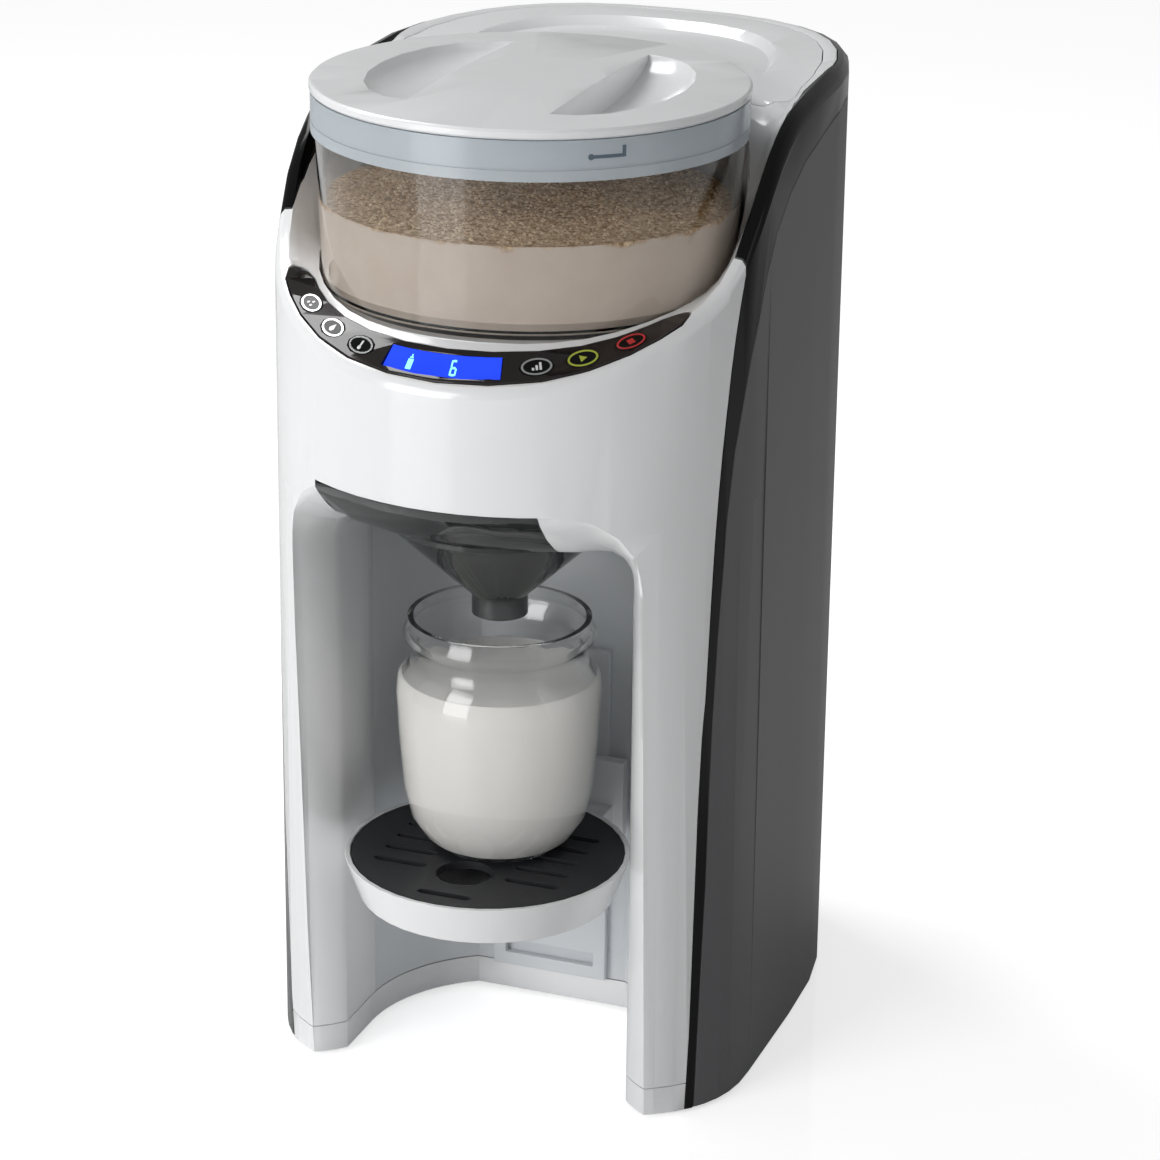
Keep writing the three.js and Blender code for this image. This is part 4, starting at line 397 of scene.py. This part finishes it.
SPOUT_Y = AXIS_Y - 26 * MM
TURNED = {"hopper": AXIS_Y, "hopper_collar": AXIS_Y, "hopper_lid": AXIS_Y, "hopper_seat": AXIS_Y,
          "lid_gasket": AXIS_Y, "feeding_jar": SPOUT_Y, "funnel": SPOUT_Y}
FINISHES = {
    WHITE_ABS: {"front_shell": 0.35, "base_plate": 0.3, "hopper_lid": 0.5, "tank_lid": 0.4, "drip_tray": 0.5,
                "hopper_seat": 0.3},
    LINER_ABS: {"niche_liner": 0.2, "tray_rail": 0.4, "powder_chute": 0.2},
    BLACK_ABS: {"trim_hoop": 0.25},
    PANEL_ACRYLIC: {"panel_bezel": 0.12},
    GREY_WRAP: {"rear_shell": 0.3},
    GRATE_GREY: {"drip_grate": 0.4},
    FOOT_RUBBER: {"foot_front_left": 0.3, "foot_front_right": 0.3, "foot_rear_left": 0.3,
                  "foot_rear_right": 0.3},
    SILICONE: {"lid_gasket": 0.3, "tank_seal": 0.3, "suction_hose": 0, "pressure_hose": 0, "hot_hose": 0},
    INNER_PLASTIC: {"chassis": 0.3, "mechanism_shelf": 0.3, "gear_plate": 0.3, "valve_socket": 0.3},
    ACETAL: {"drive_gear": 0.12, "pinion": 0.12, "spindle_bush": 0.2, "dosing_wheel": 0.3, "stirrer": 0.4,
             "tank_valve": 0.3},
    CIRCUIT_BOARD: {"display_module": 0, "button_strip": 0, "control_board": 0, "power_board": 0},
    INLET_BLACK: {"mains_inlet": 0.3},
    STEEL: {"drive_spindle": 0.3, "motor_shaft": 0.2, "motor": 0.6, "pump": 0.5, "heater": 0.5,
            "water_nozzle": 0.2},
    CLEAR: {"hopper": 0.3},
    TANK_CLEAR: {"water_tank": 0.3},
    COLLAR_BLUE: {"hopper_collar": 0.25},
    SMOKE: {"funnel": 0.2, "funnel_cover": 0.2},
    DISPLAY_BLUE: {"display_lens": 0.1},
    JAR_CLEAR: {"feeding_jar": 0},
}
pieces = {}
for finish, nodes in FINISHES.items():
    for node_name, bevel in nodes.items():
        pieces[node_name] = dressed(node_name, finish, bevel)
for name in [n for n in frame["nodes"] if n.endswith("_button")]:
    pieces[name] = dressed(name, BLACK_ABS, 0.25)
print("dressed nodes:", len(pieces), "left bare:", sorted(set(frame["nodes"]) - set(pieces)))

# %% [markdown]
# ## What is inside
# Milk and powder touch the clear wall, so no air gap may show: each is turned as its own mesh, 0.4 mm into the
# wall. The powder's top is heaped and rough, and a few thousand loose grains lie on it.

# %% Turned contents
CONTENTS_SMOOTH_ANGLE = 40


def turned_mesh(name, profile, axis_y, segments=144, rough=None):
    work = bmesh.new()
    rings = []
    for radius, height in profile:
        if radius == 0:
            rings.append([work.verts.new((0, axis_y, height))])
            continue
        ring = []
        for i in range(segments):
            angle = 2 * math.pi * i / segments
            place = Vector((radius * math.cos(angle), axis_y + radius * math.sin(angle), height))
            if rough:
                place.z += rough(place, radius)
            ring.append(work.verts.new(place))
        rings.append(ring)
    closed = list(zip(rings, rings[1:]))
    if profile[0][0] != 0:
        closed.append((rings[-1], rings[0]))
    for low, high in closed:
        for i in range(segments):
            j = (i + 1) % segments
            if len(low) == 1 and len(high) == 1:
                break
            if len(low) == 1:
                work.faces.new((low[0], high[j], high[i]))
            elif len(high) == 1:
                work.faces.new((low[i], low[j], high[0]))
            else:
                work.faces.new((low[i], low[j], high[j], high[i]))
    bmesh.ops.recalc_face_normals(work, faces=work.faces)
    mesh = bpy.data.meshes.new(name)
    work.to_mesh(mesh)
    work.free()
    return mesh


def wall_radius(node_name, axis_y, height, band=4.0):
    near = [v.co for v in frame["nodes"][node_name].data.vertices if abs(v.co.z - height) < band * MM]
    return max(math.hypot(v.x, v.y - axis_y) for v in near)


def place_piece(name, mesh, material, body, *replaced):
    made = bpy.data.objects.new(name, mesh)
    bpy.context.collection.objects.link(made)
    mesh.materials.append(material)
    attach(made, body)
    if replaced:
        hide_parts(*replaced)
    return made


INTO_WALL = 1.2 * MM
powder_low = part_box("powder_fill")[0]
foot_radius = wall_radius("powder_fill", AXIS_Y, powder_low.z + 3 * MM, 0.5) + INTO_WALL
edge_radius = wall_radius("powder_fill", AXIS_Y, POWDER_EDGE, 0.5) + INTO_WALL
stirrer_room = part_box("stirrer")[1].x + 1.2 * MM
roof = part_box("stirrer")[1].z + 2.5 * MM


LUMPS = ((22, 2.2), (7, 0.9))
CALM_BAND = 14 * MM
EDGE_ROUGHNESS = 0.35


def heap(place, radius):
    if place.z < POWDER_EDGE - 1 * MM or radius >= edge_radius - 0.1 * MM:
        return 0.0
    lumps = sum(noise.noise(place / (width * MM)) * height for width, height in LUMPS)
    fade = min((edge_radius - radius) / CALM_BAND, 1.0)
    return lumps * MM * (EDGE_ROUGHNESS + (1 - EDGE_ROUGHNESS) * fade)


top_rings = [(edge_radius * share, POWDER_EDGE + POWDER_MOUND * 0.55 * (1 - share ** 2))
             for share in (0.985, 0.95, 0.9, 0.84, 0.77, 0.69, 0.6, 0.5, 0.4, 0.3, 0.2, 0.1)]
powder_profile = [(stirrer_room, powder_low.z), (foot_radius - 3 * MM, powder_low.z),
                  (foot_radius, powder_low.z + 3 * MM), (edge_radius, POWDER_EDGE), *top_rings,
                  (0, POWDER_EDGE + POWDER_MOUND * 0.55), (0, roof), (stirrer_room, roof)]
powder_mesh = turned_mesh("powder_body", powder_profile, AXIS_Y, rough=heap)
smooth_by_angle(powder_mesh, CONTENTS_SMOOTH_ANGLE)
place_piece("powder_body", powder_mesh, POWDER, "hopper", "powder_fill")

milk_low, milk_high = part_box("milk_fill")
MILK_OUT = 0.7 * MM
levels = sorted({round(v.co.z, 5) for v in frame["nodes"]["milk_fill"].data.vertices})
milk_side = [(wall_radius("milk_fill", SPOUT_Y, z, 0.05) + MILK_OUT, z) for z in levels]
milk_mesh = turned_mesh("milk_body", [(0, milk_low.z), *milk_side, (0, milk_high.z)], SPOUT_Y)
smooth_by_angle(milk_mesh, CONTENTS_SMOOTH_ANGLE)
place_piece("milk_body", milk_mesh, MILK, "jar", "milk_fill")
print("powder", round(edge_radius / MM, 1), "mm at its edge; milk side rings:", len(milk_side))

# %% [markdown]
# ### Loose grains
# Real powder sheds grains that cling together in clumps of one to two millimetres. Geometry Nodes scatter them
# over the heap with a fixed seed, then the result is baked to one plain mesh.

# %% Loose grains
def grains_tree(material):
    tree = bpy.data.node_groups.new("scatter_grains", "GeometryNodeTree")
    sockets = {}
    tree.interface.new_socket(name="Geometry", in_out="INPUT", socket_type="NodeSocketGeometry")
    for label, kind in (("Density", "NodeSocketFloat"), ("Grain radius", "NodeSocketFloat"),
                        ("Seed", "NodeSocketInt")):
        sockets[label] = tree.interface.new_socket(name=label, in_out="INPUT", socket_type=kind).identifier
    tree.interface.new_socket(name="Geometry", in_out="OUTPUT", socket_type="NodeSocketGeometry")
    start = node(tree, "NodeGroupInput")
    points = node(tree, "GeometryNodeDistributePointsOnFaces", Mesh=start.outputs["Geometry"],
                  Density=start.outputs["Density"], Seed=start.outputs["Seed"])
    ball = node(tree, "GeometryNodeMeshIcoSphere", Radius=start.outputs["Grain radius"], Subdivisions=1)
    size = node(tree, "FunctionNodeRandomValue", data_type="FLOAT", input_2=0.45, input_3=1.25,
                Seed=start.outputs["Seed"])
    grains = node(tree, "GeometryNodeInstanceOnPoints", Points=points.outputs[0], Instance=ball.outputs[0],
                  Scale=size.outputs[1])
    real = node(tree, "GeometryNodeRealizeInstances", Geometry=grains.outputs[0])
    painted = node(tree, "GeometryNodeSetMaterial", Geometry=real.outputs[0], Material=material)
    node(tree, "NodeGroupOutput", Geometry=painted.outputs[0])
    return tree, sockets


GRAINS_PER_SQUARE_METRE = 190000.0
GRAIN_RADIUS = 0.75 * MM
SEED = 7
WALL_ROOM = 3 * MM


def scatter_grains():
    work = bmesh.new()
    work.from_mesh(powder_mesh)
    spare = []
    for face in work.faces:
        middle = face.calc_center_median()
        inside = math.hypot(middle.x, middle.y - AXIS_Y) < edge_radius - WALL_ROOM
        if not (middle.z > POWDER_EDGE - 2 * MM and face.normal.z > 0.5 and inside):
            spare.append(face)
    bmesh.ops.delete(work, geom=spare, context="FACES")
    mesh = bpy.data.meshes.new("heap_top")
    work.to_mesh(mesh)
    work.free()
    mesh.materials.clear()
    grains = bpy.data.objects.new("loose_grains", mesh)
    bpy.context.collection.objects.link(grains)
    modifier = grains.modifiers.new("scatter", "NODES")
    modifier.node_group, sockets = grains_tree(GRAINS)
    modifier[sockets["Density"]] = GRAINS_PER_SQUARE_METRE
    modifier[sockets["Grain radius"]] = GRAIN_RADIUS
    modifier[sockets["Seed"]] = SEED
    evaluated = grains.evaluated_get(bpy.context.evaluated_depsgraph_get())
    baked = bpy.data.meshes.new_from_object(evaluated)
    baked.name = "loose_grains"
    grains.modifiers.clear()
    grains.data = baked
    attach(grains, "hopper")
    return len(baked.polygons)


print("grain faces:", scatter_grains())

# %% [markdown]
# ## Buttons and display
# Each button has a hot-stamped silver oval near its edge and a small printed sign instead of a word. Start has
# a yellow-green oval and stop a red one. The prints are 0.1 mm thick, so that they catch an edge of light.

# %% Button prints
PRINT = 0.1 * MM
SINK = 0.02 * MM
OVAL_OUTSIDE = (10.6, 6.5)
OVAL_INSIDE = (9.2, 5.2)


def button_frame(node_name):
    mesh = pieces[node_name].data
    top = max((f for f in mesh.polygons if f.normal.z > 0.3), key=lambda f: f.area)
    corners = [mesh.vertices[i].co for i in top.vertices]
    centre = sum(corners, Vector()) / len(corners)
    far = max(corners, key=lambda c: (c - centre).length)
    up = top.normal.copy()
    along = (far - centre).normalized()
    if along.x < 0:
        along = -along
    return centre, along, up.cross(along).normalized(), up


def add_plate(work, outline, place, thick, hole=None):
    low = [work.verts.new(place(x, y, -SINK)) for x, y in outline]
    high = [work.verts.new(place(x, y, thick)) for x, y in outline]
    count = len(outline)
    if hole is None:
        work.faces.new(high)
        work.faces.new(low[::-1])
    for i in range(count):
        j = (i + 1) % count
        work.faces.new((low[i], low[j], high[j], high[i]))
    if hole:
        low_in = [work.verts.new(place(x, y, -SINK)) for x, y in hole]
        high_in = [work.verts.new(place(x, y, thick)) for x, y in hole]
        for i in range(count):
            j = (i + 1) % count
            work.faces.new((low_in[j], low_in[i], high_in[i], high_in[j]))
            work.faces.new((high[i], high[j], high_in[j], high_in[i]))
            work.faces.new((low[j], low[i], low_in[i], low_in[j]))


def print_plates(label, outlines, place, material, body, holes=None):
    work = bmesh.new()
    for i, outline in enumerate(outlines):
        add_plate(work, outline, place, PRINT, holes[i] if holes else None)
    bmesh.ops.recalc_face_normals(work, faces=work.faces)
    mesh = bpy.data.meshes.new(label)
    work.to_mesh(mesh)
    work.free()
    place_piece(label, mesh, material, body)
    return len(mesh.polygons)


def oval(length, width, steps=40):
    return [(length / 2 * math.cos(2 * math.pi * i / steps), width / 2 * math.sin(2 * math.pi * i / steps))
            for i in range(steps)]


def moved(outline, dx, dy):
    return [(x + dx, y + dy) for x, y in outline]


def bar(x0, x1, y0, y1):
    return [(x0, y0), (x1, y0), (x1, y1), (x0, y1)]


DROP = [(0.0, 1.7)] + [(1.1 * math.sin(a), -0.45 - 1.1 * math.cos(a))
                       for a in [math.radians(v) for v in range(-120, 121, 20)]][::-1]
THREE_DOTS = ((-1.1, -0.6), (1.1, -0.6), (0, 0.9))
SIGNS = {
    "formula_select_button": [moved(oval(1.1, 1.1, 16), dx, dy) for dx, dy in THREE_DOTS],
    "water_only_button": [DROP],
    "temperature_button": [bar(-0.35, 0.35, -0.6, 1.7), moved(oval(1.5, 1.5, 20), 0, -1.1)],
    "amount_button": [bar(-1.7, -0.9, -1.4, -0.4), bar(-0.4, 0.4, -1.4, 0.5), bar(0.9, 1.7, -1.4, 1.5)],
    "start_button": [[(-1.0, -1.4), (1.5, 0.0), (-1.0, 1.4)]],
    "stop_button": [bar(-1.2, 1.2, -1.2, 1.2)],
}
RING_INK = {"start_button": GREEN_INK, "stop_button": RED_INK}


def print_on_button(node_name, outlines, material, label, holes=None):
    centre, along, back, up = button_frame(node_name)

    def place(x, y, z):
        return centre + along * (x * MM) + back * (y * MM) + up * z

    print_plates(label, outlines, place, material, body_name(node_name), holes)


for node_name, signs in SIGNS.items():
    print_on_button(node_name, [oval(*OVAL_OUTSIDE)], RING_INK.get(node_name, SILVER_INK), node_name + "_oval",
                    holes=[oval(*OVAL_INSIDE)])
    print_on_button(node_name, signs, RING_INK.get(node_name, PALE_INK), node_name + "_sign")

# %% [markdown]
# ### Lock mark
# The collar's bayonet has a small printed mark that shows where the lid's lock sits: a line that runs round,
# a short upright and a dot. It is pad-printed, so it follows the collar and is 0.1 mm thick.

# %% Lock mark
def on_collar(x, y, z):
    angle = math.radians(x)
    radius = COLLAR_RADIUS + z
    return Vector((radius * math.sin(angle), AXIS_Y - radius * math.cos(angle), y * MM))


COLLAR_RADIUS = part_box("hopper_collar")[1].x
MARK = [[(36.4 + i, 362.2) for i in range(9)] + [(44.4 - i, 363.4) for i in range(9)],
        bar(44.4, 45.4, 362.2, 366.2), moved(oval(1.6, 2.2, 16), 36.2, 362.8)]
print("lock mark faces:", print_plates("lock_mark", MARK, on_collar, BLUE_INK, body_name("hopper_collar")))

# %% [markdown]
# The display shows one large digit and a small bottle. A liquid crystal digit is made of seven bars; here each
# corner of a bar is dropped onto the window, so that the figures follow its curve.

# %% Display figures
lens = pieces["display_lens"].data
lens_tree = BVHTree.FromPolygons([v.co for v in lens.vertices], [list(f.vertices) for f in lens.polygons])
LENS_MIDDLE = AXIS_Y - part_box("display_lens")[0].y - 3.3 * MM


def on_lens(x, y, z):
    angle = x * MM / LENS_MIDDLE
    radius = LENS_MIDDLE - y * MM
    above = Vector((radius * math.sin(angle), AXIS_Y - radius * math.cos(angle), 1.0))
    hit, normal, _, _ = lens_tree.ray_cast(above, Vector((0, 0, -1)))
    return hit + normal * z


def digit_bars(lit, left, foot, width=2.3, height=4.2, bar_width=0.55):
    half = height / 2
    spots = {
        "a": bar(left + bar_width, left + width - bar_width, foot + height - bar_width, foot + height),
        "g": bar(left + bar_width, left + width - bar_width, foot + half - bar_width / 2,
                 foot + half + bar_width / 2),
        "d": bar(left + bar_width, left + width - bar_width, foot, foot + bar_width),
        "f": bar(left, left + bar_width, foot + half + 0.1, foot + height - 0.15),
        "e": bar(left, left + bar_width, foot + 0.15, foot + half - 0.1),
        "b": bar(left + width - bar_width, left + width, foot + half + 0.1, foot + height - 0.15),
        "c": bar(left + width - bar_width, left + width, foot + 0.15, foot + half - 0.1),
    }
    return [spots[name] for name in lit]


figures = digit_bars("afgedc", 3.4, -2.1)
figures += [bar(-12.6, -10.6, -2.0, 0.7), bar(-12.2, -11.0, 0.95, 1.35), bar(-11.8, -11.4, 1.35, 2.0)]
print_plates("display_figures", figures, on_lens, DIGIT_CYAN, body_name("display_lens"))
print("display figures:", len(figures))

# %% [markdown]
# ## Studio
# A pale floor and large soft lamps. Rays that go straight to the camera or pass through glass see white.
# Reflections see a dimmer world, so that gloss black stays black, and the light on the object is dimmer still.

# %% Floor, world and lamps
FLOOR_HALF = 12.0
FLOOR_GLOW = 0.62


def make_floor():
    mesh = bpy.data.meshes.new("floor")
    half = FLOOR_HALF
    corners = [(-half, -half, 0), (half, -half, 0), (half, half, 0), (-half, half, 0)]
    mesh.from_pydata(corners, [], [(0, 1, 2, 3)])
    floor = bpy.data.objects.new("floor", mesh)
    bpy.context.collection.objects.link(floor)
    material, tree, surface = new_material("white_acrylic_floor", Base_Color=linear("#f4f4f4"), Roughness=0.07,
                                           IOR=1.45)
    path = node(tree, "ShaderNodeLightPath")
    glow = node(tree, "ShaderNodeMath", operation="MULTIPLY", input_0=path.outputs["Is Camera Ray"],
                input_1=FLOOR_GLOW)
    tree.links.new(glow.outputs[0], surface.inputs["Emission Strength"])
    surface.inputs["Emission Color"].default_value = (1, 1, 1, 1)
    mesh.materials.append(material)
    return floor


def make_world():
    world = bpy.data.worlds.new("studio")
    world.use_nodes = True
    tree = world.node_tree
    tree.nodes.clear()
    path = node(tree, "ShaderNodeLightPath")
    seen = node(tree, "ShaderNodeMath", operation="MAXIMUM", input_0=path.outputs["Is Camera Ray"],
                input_1=path.outputs["Is Transmission Ray"])
    soft = node(tree, "ShaderNodeBackground", Color=(1, 1, 1, 1), Strength=0.26)
    glossy = node(tree, "ShaderNodeBackground", Color=(1, 1, 1, 1), Strength=0.36)
    white = node(tree, "ShaderNodeBackground", Color=(1, 1, 1, 1), Strength=1.0)
    lit = node(tree, "ShaderNodeMixShader", Fac=path.outputs["Is Glossy Ray"], input_1=soft.outputs[0],
               input_2=glossy.outputs[0])
    mixed = node(tree, "ShaderNodeMixShader", Fac=seen.outputs[0], input_1=lit.outputs[0],
                 input_2=white.outputs[0])
    node(tree, "ShaderNodeOutputWorld", Surface=mixed.outputs[0])
    bpy.context.scene.world = world


def make_lamp(name, place, target, size, power):
    data = bpy.data.lights.new(name, "AREA")
    data.shape = "RECTANGLE"
    data.size, data.size_y = size
    data.energy = power
    lamp = bpy.data.objects.new(name, data)
    lamp.location = place
    lamp.rotation_euler = (Vector(target) - Vector(place)).to_track_quat("-Z", "Y").to_euler()
    bpy.context.collection.objects.link(lamp)


make_floor()
make_world()
CENTRE = (0.0, 0.0, 0.2)
LAMPS = {
    "key_softbox": {"place": (-0.8, -1.6, 0.6), "size": (0.9, 1.2), "power": 19},
    "side_softbox": {"place": (1.6, -0.3, 0.7), "size": (0.5, 1.4), "power": 1.5},
    "top_softbox": {"place": (-0.8, 0.3, 1.4), "size": (0.7, 0.7), "power": 11},
}
for lamp_name, lamp in LAMPS.items():
    make_lamp(lamp_name, lamp["place"], CENTRE, lamp["size"], lamp["power"])
bpy.context.scene.view_settings.view_transform = "Standard"
